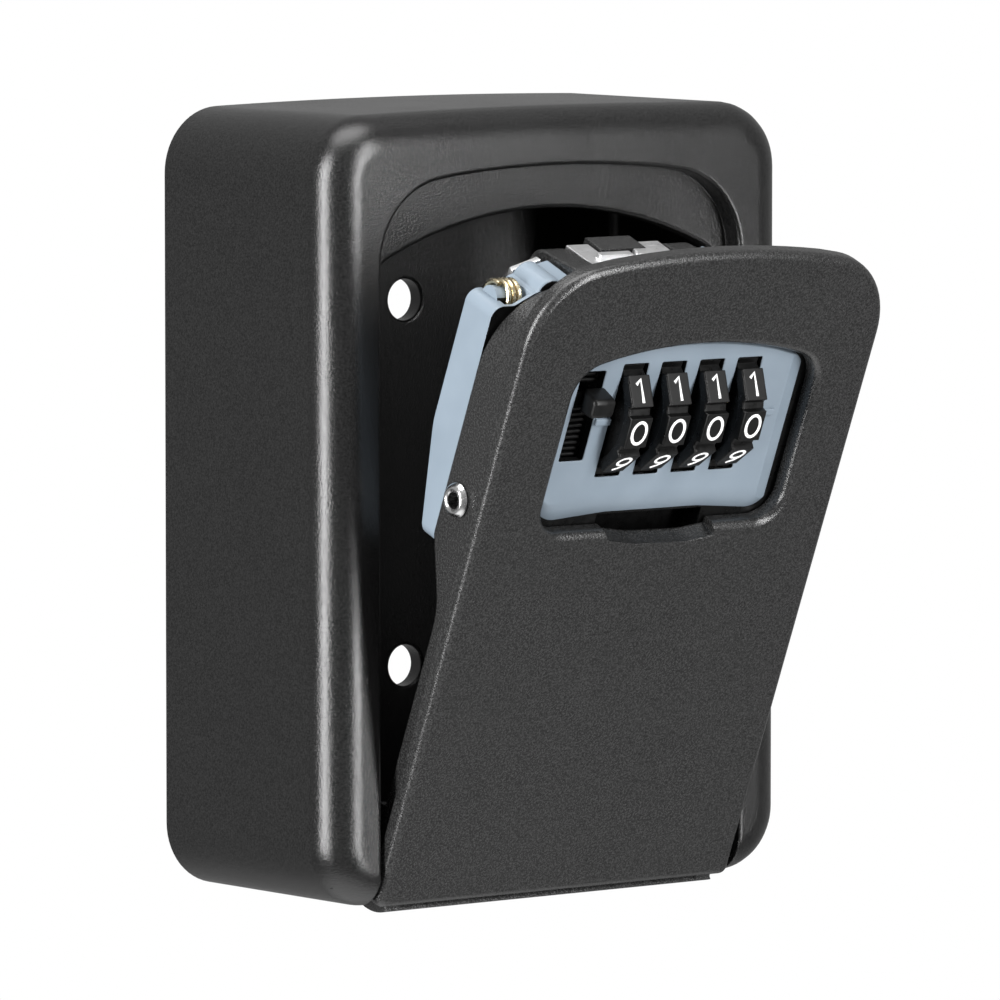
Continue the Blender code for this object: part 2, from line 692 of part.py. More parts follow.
def torsion_springs(door):
    """Brass coils on the housing's posts, each with a short leg down and one leg back."""
    radius, turns, steps, pitch = SPRING_RADIUS, 3, 12, 1.0
    for name, side in (("torsion_spring_left", -1), ("torsion_spring_right", 1)):
        start = side * (SPRING_X[0] + 0.75)
        points = [(start, SPRING_Y + radius, SPRING_Z - 2.3), (start, SPRING_Y + radius, SPRING_Z - 1.5)]
        for i in range(turns * steps + 4):
            angle = 2 * pi * i / steps
            x = start + side * pitch * i / steps
            points.append((x, SPRING_Y + radius * cos(angle), SPRING_Z + radius * sin(angle)))
        finish(wire(points, SPRING_WIRE), name, BRASS, door)


def spring_brackets(door):
    """Upright steel plates behind the housing's shoulders."""
    near, far = 18.3, 23.2
    for label, side in (("left", -1), ("right", 1)):
        outline = [(side * near, 93.0), (side * far, 93.0), (side * far, 97.9), (side * near, 99.5)]
        plate = extruded([outline], (BODY_BACK + GAP, BODY_BACK + GAP + 1.0))
        finish(plate, f"spring_bracket_{label}", BRIGHT_STEEL, door)


# ---- dials ------------------------------------------------------------------------------------------


def dial_outline():
    """Ten flats with a groove between each two, seen along the axis. A flat faces the front."""
    points = []
    for i in range(DIGITS):
        middle = 180 + i * 360 / DIGITS
        for offset, radius in ((-14.0, 1.0), (14.0, 1.0), (15.5, 0.93), (20.5, 0.93)):
            angle = radians(middle + offset)
            points.append((radius * DIAL_RADIUS * cos(angle), radius * DIAL_RADIUS * sin(angle)))
    return points


def dials(door):
    """Each dial turns about the shaft with the cam in its bore."""
    for i, x in enumerate(dial_places(), 1):
        axle = frame(f"dial_axis_{i}", door, (x, DIAL_Y, DIAL_Z))
        half = DIAL_WIDTH / 2
        wheel = extruded([dial_outline(), circle((0, 0), SLEEVE + GAP)], (-half, half), SIDE_VIEW)
        finish(wheel, f"dial_{i}", GLOSS_BLACK, axle)
        sleeve = rod(SLEEVE, (-half, half + 0.6), 0, 0)
        add(sleeve, rod(CAM, (half + 0.4, half + 2.2), 0, 0))
        for side in (-1, 1):
            slot = sorted((side * (SHAFT + 0.6), side * (CAM + 1)))
            cut(sleeve, box((half + 0.3, half + 3), slot, (-1.1, 1.1)))
        cut(sleeve, rod(SHAFT + 0.2, (-half - 1, half + 3), 0, 0))
        finish(sleeve, f"dial_cam_{i}", BRASS, axle)


def dial_shaft(door):
    finish(rod(SHAFT, (-15.9, 18.9), DIAL_Y, DIAL_Z), "dial_shaft", BRIGHT_STEEL, door)


def detent_spring(door):
    """A leaf under the dials with a finger for each one."""
    leaf = box((-14.2, 15.6), (11.0, 15.5), LEAF_Z)
    finger = [(13.2, 60.3), (14.6, 60.3), (9.2, 69.4), (7.4, 69.9), (6.6, 69.3), (8.6, 68.8)]
    for x in dial_places():
        add(leaf, extruded([finger], (x - 1.5, x + 1.5), SIDE_VIEW))
    finish(leaf, "detent_spring", BRIGHT_STEEL, door)


# ---- latch ------------------------------------------------------------------------------------------


def latch_plate(latch):
    """A bent steel plate: a tongue that rises behind the case's ledge, a top plate notched round the
    cover's lug, and a strip that goes down beside the dials to the slider."""
    near = LATCH_MIDDLE - ARM_NEAR + 0.6
    far = LATCH_MIDDLE + ARM_NEAR - 0.6
    plate = box((near, far), (STRIP_Y[0], 22.8), TOP_PLATE_Z)
    tongue = [(7.0, 99.1), (8.4, 99.1), (8.4, 104.6), (7.6, 106.2), (7.0, 106.2)]
    add(plate, extruded([tongue], (near, far), SIDE_VIEW))
    cut(plate, box((LATCH_MIDDLE - 4.7, LATCH_MIDDLE + 4.7), (18.4, 24), (95, 103)))
    add(plate, box((-9.2, -2.9), (17.2, 18.4), (100.0, 101.0)))
    add(plate, box((-2.3, 2.4), (16.8, 18.4), (100.0, 101.3)))
    strip = [(-21.0, 72), (-17.7, 72), (-17.7, 95.0), (-14.8, 97.2), (near + 1.6, 97.2)]
    strip += [(near + 1.6, 99.4), (near, 99.4), (near, 98.4), (-15.2, 98.4), (-19.3, 95.8), (-21.0, 94.0)]
    add(plate, extruded([strip], STRIP_Y))
    finish(plate, "latch_plate", BRIGHT_STEEL, latch)


def slider_button(latch):
    """The ribbed slider at the left of the dials: it runs behind the housing's front, and its thumb block
    stands out through the slot. A stem reaches back to the strip."""
    slider = box(SLIDER_X, SLIDER_Y, SLIDER_Z)
    for i in range(RIBS):
        z = SLIDER_Z[0] + 0.4 + i * RIB_PITCH
        add(slider, box(SLIDER_X, (SLIDER_Y[0] - 0.5, SLIDER_Y[0] + 0.1), (z, z + 0.5)))
    thumb = rounded([(-20.0, 83.3, 0.6), (-16.3, 83.3, 0.6), (-16.3, 86.6, 0.6), (-20.0, 86.6, 0.6)])
    add(slider, extruded([thumb], (-1.6, 4.8)))
    add(slider, box((-19.9, -16.6), (5.1, 6.6), (76.5, 84.5)))
    finish(slider, "slider_button", GLOSS_BLACK, latch)


def fence_comb(fence):
    """The comb that the dials' cams block: a bar over the back of the dials with a finger at each cam.
    It slides forward as the latch comes down, so that its fingers enter the cams' notches."""
    comb = box(COMB_X, (19.3, 20.6), (87.0, 90.6))
    add(comb, box((COMB_X[0], COMB_X[0] + 2.8), (10.9, 20.0), (87.2, 90.4)))
    finger = [(12.5, 80.3), (20.0, 80.3), (20.0, 88.0), (17.6, 88.0), (17.6, 81.7), (12.5, 81.7)]
    for x in dial_places():
        middle = x + DIAL_WIDTH / 2 + 1.3
        add(comb, extruded([finger], (middle - 0.5, middle + 0.5), SIDE_VIEW))
    finish(comb, "fence_comb", DARK_STEEL, fence)


def code_lever(door):
    """The small lever on the cover that lets a new code be set."""
    axle = frame("code_lever_slide", door, (-CODE_TRAVEL / 2, 0, sum(CODE_SLOT_Z) / 2))
    lever = box((-4.2, 4.2), (19.5, 21.0), (-2.4, 2.4))
    add(lever, box((-1.9, 1.9), (20.8, 23.0), (-1.4, 1.4)))
    add(lever, box((-2.4, 2.4), (22.9, 24.6), (-2.2, 2.2)))
    finish(lever, "code_lever", GLOSS_BLACK, axle)


def build():
    for old in list(bpy.data.objects):
        bpy.data.objects.remove(old)
    bpy.context.scene.collection.children.link(PARTS)
    bpy.context.scene.collection.children.link(BENCH)
    case = frame("case", None, (0, 0, -CASE_HEIGHT / 2))
    case_shell(case)
    hinge_pins(case)
    hinge = frame("door_hinge", case, (0, *hinge_place()), DOOR_OPEN)
    door = frame("door_datum", hinge, (0, -HINGE_Y, -HINGE_Z))
    for make in (door_panel, lock_body, lock_cover, cover_screws, key_hook, housing_rivets, arm_rivets):
        make(door)
    for make in (torsion_springs, spring_brackets, dials, dial_shaft, detent_spring, code_lever):
        make(door)
    latch = frame("latch_slide", door, (0, 0, 0))
    latch_plate(latch)
    slider_button(latch)
    fence_comb(frame("fence_slide", door, (0, 0, 0)))


build()
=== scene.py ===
"""The looks of a wall-mounted key lock box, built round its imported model.

Numbers are millimetres and degrees unless a name says otherwise; the helpers turn them into metres.
Case frame: x to the right, y to the back, z above the bottom of the case.
Door frame: x as in the world, y is the depth behind the door's front face, z is the height above its foot.
"""

import json
from math import atan2, ceil, cos, pi, radians, sin, sqrt, tan

import bmesh
import bpy
from mathutils import Matrix, Vector


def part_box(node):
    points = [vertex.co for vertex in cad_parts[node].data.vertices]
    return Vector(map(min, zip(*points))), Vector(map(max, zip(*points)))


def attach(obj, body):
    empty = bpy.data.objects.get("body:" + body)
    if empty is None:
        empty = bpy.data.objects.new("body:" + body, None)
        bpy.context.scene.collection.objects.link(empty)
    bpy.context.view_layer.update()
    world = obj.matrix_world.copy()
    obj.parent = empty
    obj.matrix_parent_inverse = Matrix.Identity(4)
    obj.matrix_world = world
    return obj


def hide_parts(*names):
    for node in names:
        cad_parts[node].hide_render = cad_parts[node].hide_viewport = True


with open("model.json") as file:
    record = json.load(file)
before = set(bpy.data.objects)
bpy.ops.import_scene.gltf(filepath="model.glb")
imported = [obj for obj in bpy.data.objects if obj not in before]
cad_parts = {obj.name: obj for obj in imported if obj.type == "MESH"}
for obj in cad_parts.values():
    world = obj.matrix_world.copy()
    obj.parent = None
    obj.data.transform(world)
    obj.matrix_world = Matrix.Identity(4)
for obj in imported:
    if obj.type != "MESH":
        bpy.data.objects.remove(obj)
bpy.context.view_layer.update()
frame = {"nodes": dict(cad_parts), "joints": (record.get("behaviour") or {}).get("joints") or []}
MM = 0.001

# Degrees: between two points of an arc, and the least turn between faces that shows as an edge.
STEP = 6.0
SHARP_ANGLE = 32.0
CREST_ANGLE = 19.0

# The stage, in metres, with the strength of the world's light from straight below and from straight above.
MIDDLE = Vector((0, -0.02, 0))
FLOOR_REACH = 0.9
FLOOR_DROP = 0.7
AMBIENT = (0.24, 0.42)

# The camera: angles in degrees, distance and target in metres.
CAMERA_AZIMUTH = -38.4
CAMERA_ELEVATION = 4.97
CAMERA_DISTANCE = 1.5216
CAMERA_TARGET = Vector((0.00508, -0.020, -0.00181))
CAMERA_LENS = 355.1

CASE_LOW, CASE_HIGH = (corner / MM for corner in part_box("case_shell"))
CASE_HALF = CASE_HIGH.x
CASE_HEIGHT = CASE_HIGH.z - CASE_LOW.z
CASE_DEPTH = -CASE_LOW.y
CASE_CORNER = 10.0
CASE_CROWN = 0.8
FRONT_ROUNDING = 6.0
WALL = 2.5
BACK_WALL = 2.8
LEDGE_FRONT = 38.5
LEDGE_BACK = 36.0
RECESS_HALF = 34.9
RECESS_TOP = 111.0
OPENING_HALF = 32.9
OPENING_TOP = 104.3
OPENING_ARCH = 75.0
SCREW_HOLE = 3.2
SCREW_SPREAD = 28.5

HINGE = next(joint for joint in frame["joints"] if joint["name"] == "door_hinge")
DOOR_OPEN = -HINGE["range_deg"][0]
HINGE_Y = 5.95
HINGE_Z = 6.65
HINGE_PIN = 1.5
HEEL = 8.4
HEEL_WALL = 2.2

DOOR_HALF = 34.3
DOOR_FOOT = 0.9
DOOR_ARCH = 160.0
DOOR_TOP = 109.1
DOOR_CORNER = 13.0
DOOR_THICK = 2.8
SKIRT_HALF = 31.8
SKIRT_TOP = 102.2
SKIRT_WALL = 2.0
SKIRT_DEEP = 12.5
SKIRT_SHALLOW = 7.0
WINDOW_X = 0.9
HOUSING_RIVET = (9.0, 65.5)
HOUSING_RIVET_HOLE = 2.3
WINDOW_HALF = 23.4
WINDOW_FOOT = 63.3
WINDOW_TOP = 93.8
WINDOW_RIM = 1.25
SCOOP_LEFT = -10.4
SCOOP_RIGHT = 11.0

BEZEL_Y = 2.0
BODY_BACK = 19.6
COVER_BACK = 22.6
BODY_HALF = 31.3
BODY_FOOT = 56.4
BODY_TOP = 101.6
BODY_INSIDE = 27.6
BODY_INSIDE_Z = (59.4, 92.0)
KNEE_Z = 74.5
KNEE_SLOPE = 0.22
DIAL_Y = 7.9
DIAL_Z = 81.0
DIAL_PITCH = 7.35
DIAL_MIDDLE = 0.7
DIAL_RADIUS = 10.6
DIAL_WIDTH = 4.2
SLEEVE = 3.3
DIALS = 4
DIGITS = 10
FACET_HALF = 13.2
LATCH_MIDDLE = -2.7
ARM_NEAR = 9.5
ARM_FAR = 14.3
ARM_RIVET = (21.9, 96.9)
ARM_RIVET_HOLE = 1.5
SPRING_X = (24.4, 28.8)
SPRING_Y = 16.6
SPRING_Z = 95.2
POST_X = 24.4
POST_Z = (77.4, 88.8)
HOOK_X = -11.0
HOOK_Z = 80.0

CASE_PLACE = Matrix.Translation((0, 0, CASE_LOW.z * MM))
DOOR_PLACE = (
    Matrix.Translation(HINGE["pos_m"])
    @ Matrix.Rotation(radians(DOOR_OPEN), 4, "X")
    @ Matrix.Translation((0, -HINGE_Y * MM, -HINGE_Z * MM))
)


# ---- materials --------------------------------------------------------------------------------------


class Look:
    """A Principled material whose nodes are added one at a time."""

    def __init__(self, name, roughness, metallic=0.0, specular=0.5):
        self.material = bpy.data.materials.new(name)
        self.material.use_nodes = True
        self.nodes = self.material.node_tree.nodes
        self.links = self.material.node_tree.links
        self.shader = self.nodes["Principled BSDF"]
        self.shader.inputs["Roughness"].default_value = roughness
        self.shader.inputs["Metallic"].default_value = metallic
        self.shader.inputs["Specular IOR Level"].default_value = specular
        self.place = self.nodes.new("ShaderNodeTexCoord").outputs["Object"]
        self.normal = None

    def noise(self, size, detail=3.0, stretch=(1, 1, 1), rough=0.5):
        """Noise whose features are about size millimetres across, longer along an axis by its stretch."""
        mapping = self.nodes.new("ShaderNodeMapping")
        mapping.inputs["Scale"].default_value = [1 / (size * MM * s) for s in stretch]
        self.links.new(self.place, mapping.inputs["Vector"])
        noise = self.nodes.new("ShaderNodeTexNoise")
        noise.inputs["Scale"].default_value = 1.0
        noise.inputs["Detail"].default_value = detail
        noise.inputs["Roughness"].default_value = rough
        self.links.new(mapping.outputs["Vector"], noise.inputs["Vector"])
        return noise.outputs["Fac"]

    def cells(self, size):
        """Round cells about size millimetres across."""
        mapping = self.nodes.new("ShaderNodeMapping")
        mapping.inputs["Scale"].default_value = [1 / (size * MM)] * 3
        self.links.new(self.place, mapping.inputs["Vector"])
        cells = self.nodes.new("ShaderNodeTexVoronoi")
        cells.feature = "SMOOTH_F1"
        cells.inputs["Scale"].default_value = 1.0
        self.links.new(mapping.outputs["Vector"], cells.inputs["Vector"])
        return cells.outputs["Distance"]

    def ramp(self, factor, stops):
        """A colour ramp through (place, colour) stops."""
        ramp = self.nodes.new("ShaderNodeValToRGB")
        elements = ramp.color_ramp.elements
        for _ in stops[2:]:
            elements.new(0.5)
        for element, (place, colour) in zip(elements, stops):
            element.position = place
            element.color = (*colour, 1)
        self.links.new(factor, ramp.inputs["Fac"])
        return ramp.outputs["Color"]

    def between(self, factor, low, high, start=0.3, end=0.7):
        """The factor's range from start to end, made low to high."""
        spread = self.nodes.new("ShaderNodeMapRange")
        values = {"From Min": start, "From Max": end, "To Min": low, "To Max": high}
        for socket, value in values.items():
            spread.inputs[socket].default_value = value
        self.links.new(factor, spread.inputs["Value"])
        return spread.outputs["Result"]

    def colour(self, output):
        self.links.new(output, self.shader.inputs["Base Color"])

    def roughness(self, output):
        self.links.new(output, self.shader.inputs["Roughness"])

    def bump(self, height, depth, strength=1.0):
        """Relief of about depth millimetres, on top of the relief so far."""
        bump = self.nodes.new("ShaderNodeBump")
        bump.inputs["Strength"].default_value = strength
        bump.inputs["Distance"].default_value = depth * MM
        self.links.new(height, bump.inputs["Height"])
        if self.normal:
            self.links.new(self.normal, bump.inputs["Normal"])
        self.normal = bump.outputs["Normal"]
        self.links.new(self.normal, self.shader.inputs["Normal"])

    def soften(self, radius):
        """Rounds the shading of edges that the mesh keeps sharp."""
        bevel = self.nodes.new("ShaderNodeBevel")
        bevel.samples = 4
        bevel.inputs["Radius"].default_value = radius * MM
        self.normal = bevel.outputs["Normal"]


def grey(value, blue=1.0):
    return (value, value, value * blue)


def powder_coat(name, dark, light):
    """Crinkled black powder coat with pale crests, and a slow change in sheen."""
    grain = 0.30
    look = Look(name, 0.26, specular=0.57)
    look.soften(0.35)
    wrinkle = look.noise(grain, 3.0, rough=0.6)
    cells = look.cells(grain * 1.3)
    look.colour(look.ramp(wrinkle, [(0.34, grey(dark)), (0.70, grey(light))]))
    look.roughness(look.between(look.noise(14.0), 0.215, 0.255))
    look.bump(cells, 0.020, 0.5)
    look.bump(wrinkle, 0.055, 1.0)
    return look.material


def housing_enamel():
    """Satin blue-grey enamel on a casting, with a faint orange peel and a slow change of tone."""
    look = Look("housing_enamel", 0.36)
    look.soften(0.18)
    tone = look.noise(9.0, 2.0)
    look.colour(look.ramp(tone, [(0.35, (0.185, 0.227, 0.270)), (0.7, (0.205, 0.250, 0.296))]))
    look.roughness(look.between(look.noise(2.2), 0.33, 0.43))
    look.bump(look.noise(0.9, 2.0), 0.012, 0.5)
    return look.material


def moulded(name, value, roughness):
    """Black moulded plastic with a fine spark texture and a few pale rubs."""
    look = Look(name, roughness, specular=0.22)
    look.soften(0.2)
    rub = look.noise(3.2, 5.0, rough=0.7)
    look.colour(look.ramp(rub, [(0.45, grey(value)), (0.75, grey(value * 2.2))]))
    look.roughness(look.between(look.noise(1.1), roughness - 0.06, roughness + 0.1))
    look.bump(look.noise(0.14, 3.0), 0.01, 0.5)
    return look.material


def sheet_steel(name, value, roughness, stretch=(18, 1, 1)):
    """Rolled steel sheet with a brushed grain along one axis and faint stains."""
    look = Look(name, roughness, 1.0)
    look.soften(0.15)
    grain = look.noise(0.09, 3.0, stretch)
    stain = look.noise(4.5, 3.0)
    look.colour(look.ramp(stain, [(0.3, grey(value * 0.86)), (0.7, grey(value, 1.01))]))
    look.roughness(look.between(grain, roughness - 0.08, roughness + 0.12))
    look.bump(grain, 0.008, 0.4)
    return look.material


def plated(name, colour, roughness):
    """Plated metal: bright, with slight drawing marks and a change of tone."""
    look = Look(name, roughness, 1.0)
    marks = look.noise(0.25, 4.0, (6, 1, 1))
    tone = look.noise(1.6, 3.0)
    darker = tuple(channel * 0.72 for channel in colour)
    look.colour(look.ramp(tone, [(0.35, darker), (0.62, colour)]))
    look.roughness(look.between(marks, roughness - 0.05, roughness + 0.12))
    look.bump(marks, 0.006, 0.5)
    return look.material


def digit_paint():
    """White filled paint, a little uneven."""
    look = Look("digit_paint", 0.55)
    uneven = look.noise(0.5, 3.0)
    look.colour(look.ramp(uneven, [(0.3, grey(0.80)), (0.6, grey(0.92))]))
    look.bump(uneven, 0.01, 0.4)
    return look.material


def paper():
    """The pale matt ground, which fades out towards its rim."""
    look = Look("paper", 0.9)
    look.colour(look.ramp(look.noise(400.0, 2.0), [(0.3, grey(0.90)), (0.7, grey(0.915))]))
    centre = look.nodes.new("ShaderNodeVectorMath")
    centre.operation = "MULTIPLY"
    centre.inputs[1].default_value = (1, 1, 0)
    reach = look.nodes.new("ShaderNodeVectorMath")
    reach.operation = "LENGTH"
    look.links.new(look.place, centre.inputs[0])
    look.links.new(centre.outputs[0], reach.inputs[0])
    fade = look.between(reach.outputs["Value"], 1.0, 0.0, 0.3 * FLOOR_REACH, 0.98 * FLOOR_REACH)
    look.links.new(fade, look.shader.inputs["Alpha"])
    return look.material


CASE_COAT = powder_coat("case_coat", 0.0, 0.013)
DOOR_COAT = powder_coat("door_coat", 0.004, 0.036)
HOUSING = housing_enamel()
# Black plastic of the dials, also used as painted shade in the housing's gaps and hollows.
DIAL_PLASTIC_AND_SHADE = moulded("dial_plastic", 0.003, 0.30)
PAD_PLASTIC = moulded("pad_plastic", 0.003, 0.46)
SLIDER_PLASTIC = moulded("slider_plastic", 0.003, 0.36)
STEEL = sheet_steel("latch_steel", 0.86, 0.34)
DARK_STEEL = sheet_steel("comb_steel", 0.30, 0.36)
CHROME = plated("rivet_chrome", grey(0.72), 0.16)
ZINC = plated("screw_zinc", (0.55, 0.56, 0.58), 0.3)
BRASS = plated("spring_brass", (0.86, 0.74, 0.50), 0.2)
CAM_BRASS = plated("cam_brass", (0.78, 0.62, 0.33), 0.3)
WHITE = digit_paint()


# ---- outlines ---------------------------------------------------------------------------------------


def arc(centre, radius, start, end, step=STEP):
    """Points on a circle from one angle to another."""
    count = max(2, ceil(abs(end - start) / step))
    angles = [radians(start + (end - start) * i / count) for i in range(count + 1)]
    return [(centre[0] + radius * cos(a), centre[1] + radius * sin(a)) for a in angles]


def rounded(corners, step=STEP):
    """A closed outline from corners (u, v, radius)."""
    points = []
    for i, (u, v, radius) in enumerate(corners):
        here = Vector((u, v))
        if radius == 0:
            points.append((u, v))
            continue
        back = (Vector(corners[i - 1][:2]) - here).normalized()
        on = (Vector(corners[(i + 1) % len(corners)][:2]) - here).normalized()
        half = back.angle(on) / 2
        centre = here + (back + on).normalized() * radius / sin(half)
        first = here + back * radius / tan(half) - centre
        last = here + on * radius / tan(half) - centre
        start = atan2(first.y, first.x)
        turn = (atan2(last.y, last.x) - start + pi) % (2 * pi) - pi
        points += arc(centre, radius, start * 180 / pi, (start + turn) * 180 / pi, step)
    return points


def arch_height(u, top, arch):
    """The height at u of an arch of a given radius and top."""
    return top - arch + sqrt(arch**2 - u**2)


def arch_points(top, arch, reach, count):
    """Corners along an arch from reach on its right to reach on its left."""
    across = [reach * (1 - 2 * i / count) for i in range(count + 1)]
    return [(u, arch_height(u, top, arch), 0) for u in across]


def arched(half, foot, top, arch, corner, foot_corner=0.0):
    """A panel outline with straight sides, rounded upper corners and an arched top."""
    shoulder = arch_height(half, top, arch)
    crown = arch_points(top, arch, half - corner - 1.5, 12)
    foot_corners = [(-half, foot, foot_corner), (half, foot, foot_corner)]
    return rounded(foot_corners + [(half, shoulder, corner)] + crown + [(-half, shoulder, corner)])


def rectangle(u, v, corner=0.0):
    left, right = u
    low, high = v
    corners = [(left, low, corner), (right, low, corner), (right, high, corner), (left, high, corner)]
    return rounded(corners, 15)


def grown(points, distance):
    """The outline moved outwards by a distance, which may be a function of the way that it faces."""
    moved = []
    for i, point in enumerate(points):
        here = Vector(point)
        back = (here - Vector(points[i - 1])).normalized()
        on = (Vector(points[(i + 1) % len(points)]) - here).normalized()
        out = Vector((back.y + on.y, -back.x - on.x))
        lean = max(0.3, 1 + back.dot(on))
        reach = distance(out.normalized()) if callable(distance) else distance
        moved.append(here + out * reach / lean)
    return moved


def round_ends(start, end, front=0.3, back=0.3, steps=4):
    """Levels (depth, growth) of a solid whose rims at both ends are rounded."""
    turns = [pi / 2 * i / steps for i in range(steps + 1)]
    first = [(start + front * (1 - cos(a)), front * (sin(a) - 1)) for a in turns]
    last = [(end - back * (1 - cos(a)), back * (sin(a) - 1)) for a in reversed(turns)]
    return first + last


def flared(face, end, rim, over=4.0, steps=5):
    """Levels of a cutter that leaves a rounded rim where it goes in through a face."""
    turns = [pi / 2 * i / steps for i in range(steps, -1, -1)]
    inward = 1 if end > face else -1
    curve = [(face + inward * rim * (1 - sin(a)), rim * (1 - cos(a))) for a in turns]
    return [(face - inward * over, rim)] + curve + [(end, 0)]


# ---- solids -----------------------------------------------------------------------------------------

FRONT_VIEW = Matrix(((1, 0, 0), (0, 0, 1), (0, 1, 0))).to_4x4()
SIDE_VIEW = Matrix(((0, 0, 1), (1, 0, 0), (0, 1, 0))).to_4x4()


def object_of(shape, name="shape"):
    bmesh.ops.recalc_face_normals(shape, faces=shape.faces)
    mesh = bpy.data.meshes.new(name)
    shape.to_mesh(mesh)
    shape.free()
    piece = bpy.data.objects.new(name, mesh)
    bpy.context.scene.collection.objects.link(piece)
    return piece


def lofted(outline, levels, view=FRONT_VIEW):
    """A solid through copies of an outline, each grown by its level's growth at its level's depth."""
    shape = bmesh.new()
    rings = []
    for depth, growth in levels:
        points = grown(outline, growth) if growth else outline
        rings.append([shape.verts.new((view @ Vector((u, v, depth))) * MM) for u, v in points])
    for ring, after in zip(rings, rings[1:]):
        for i in range(len(ring)):
            shape.faces.new((ring[i - 1], ring[i], after[i], after[i - 1]))
    shape.faces.new(rings[0])
    shape.faces.new(rings[-1])
    return object_of(shape)


def extruded(outline, span, view=FRONT_VIEW, rim=0.0):
    return lofted(outline, round_ends(*span, rim, rim, 3) if rim else [(span[0], 0), (span[1], 0)], view)


def box(x, y, z, rim=0.0):
    """A block, whose edges are rounded if it has a rim."""
    return extruded(rectangle(x, z, rim), y, FRONT_VIEW, rim)


def rod(radius, x, y, z, axis="x", rim=0.0):
    """A cylinder along x or y, whose place on that axis is a pair and on the others a number."""
    if axis == "x":
        return extruded(arc((y, z), radius, 0, 360)[:-1], x, SIDE_VIEW, rim)
    return extruded(arc((x, z), radius, 0, 360)[:-1], y, FRONT_VIEW, rim)


def evaluated(piece):
    bpy.context.view_layer.update()
    return bpy.data.meshes.new_from_object(piece.evaluated_get(bpy.context.evaluated_depsgraph_get()))


def applied(piece):
    mesh = evaluated(piece)
    piece.modifiers.clear()
    piece.data = mesh
    return piece


def combine(piece, operation, tools):
    for tool in tools:
        change = piece.modifiers.new(operation.lower(), "BOOLEAN")
        change.operation = operation
        change.object = tool
        applied(piece)
        bpy.data.objects.remove(tool)
    return piece


def add(piece, *tools):
    return combine(piece, "UNION", tools)


def cut(piece, *tools):
    return combine(piece, "DIFFERENCE", tools)


def on_side(side, near, far, middle=0.0):
    """The span on x from near to far on one side (-1 left, 1 right) of a middle."""
    return sorted((middle + side * near, middle + side * far))


def joined(pieces):
    """Separate shapes made one mesh, each left whole."""
    shape = bmesh.new()
    for piece in pieces:
        shape.from_mesh(piece.data)
        bpy.data.objects.remove(piece)
    return object_of(shape)


def wire(points, radius, cyclic=False, sides=3):
    """A round wire with round ends along a polyline."""
    curve = bpy.data.curves.new("wire", "CURVE")
    curve.dimensions = "3D"
    curve.bevel_depth = radius * MM
    curve.bevel_resolution = sides
    curve.use_fill_caps = not cyclic
    spline = curve.splines.new("POLY")
    spline.points.add(len(points) - 1)
    spline.use_cyclic_u = cyclic
    for point, place in zip(spline.points, points):
        point.co = (*[v * MM for v in place], 1)
    helper = bpy.data.objects.new("wire", curve)
    bpy.context.scene.collection.objects.link(helper)
    mesh = evaluated(helper)
    bpy.data.objects.remove(helper)
    shape = bmesh.new()
    shape.from_mesh(mesh)
    bmesh.ops.remove_doubles(shape, verts=shape.verts, dist=1e-6)
    return object_of(shape)


def turned(profile):
    """A closed profile of (radius, height) points turned about Z."""
    shape = bmesh.new()
    points = [shape.verts.new((radius * MM, 0, height * MM)) for radius, height in profile]
    edges = [shape.edges.new((points[i - 1], points[i])) for i in range(len(points))]
    turn = dict(cent=(0, 0, 0), axis=(0, 0, 1), angle=2 * pi, steps=40, use_merge=True)
    bmesh.ops.spin(shape, geom=points + edges, **turn)
    bmesh.ops.remove_doubles(shape, verts=shape.verts, dist=1e-7)
    return object_of(shape)


def moved(piece, matrix):
    piece.data.transform(matrix)
    if matrix.determinant() < 0:
        piece.data.flip_normals()
    return piece


def along_x(side, x, y, z):
    """Turns a piece's +Z to the left (side -1) or to the right (side 1), and puts it in its place."""
    return Matrix.Translation(Vector((x, y, z)) * MM) @ Matrix.Rotation(side * pi / 2, 4, "Y")


def smooth(piece):
    piece.data.shade_smooth()
    piece.data.set_sharp_from_angle(angle=radians(SHARP_ANGLE))
    weighted = piece.modifiers.new("weighted", "WEIGHTED_NORMAL")
    weighted.keep_sharp = True
    return piece


def shown(piece, name, material, body, place, replaces=()):
    """Makes a shape a piece of the object: its name, its look, its place and the body that it rides on."""
    moved(piece, place)
    piece.name = piece.data.name = name
    if not piece.data.materials:
        piece.data.materials.append(material)
    smooth(piece)
    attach(piece, body)
    if replaces:
        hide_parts(*replaces)
    return piece


def refined(node, material, edge=0.0):
    """A CAD node kept as it is, with its own look and its sharp edges broken."""
    piece = frame["nodes"][node]
    piece.data.materials.clear()
    piece.data.materials.append(material)
    weld = piece.modifiers.new("weld", "WELD")
    weld.merge_threshold = 1e-6
    if edge:
        bevel = piece.modifiers.new("edge", "BEVEL")
        bevel.width = edge * MM
        bevel.segments = 2
        bevel.limit_method = "ANGLE"
        bevel.angle_limit = radians(40)
    piece.modifiers.new("weighted", "WEIGHTED_NORMAL")


# ---- case -------------------------------------------------------------------------------------------


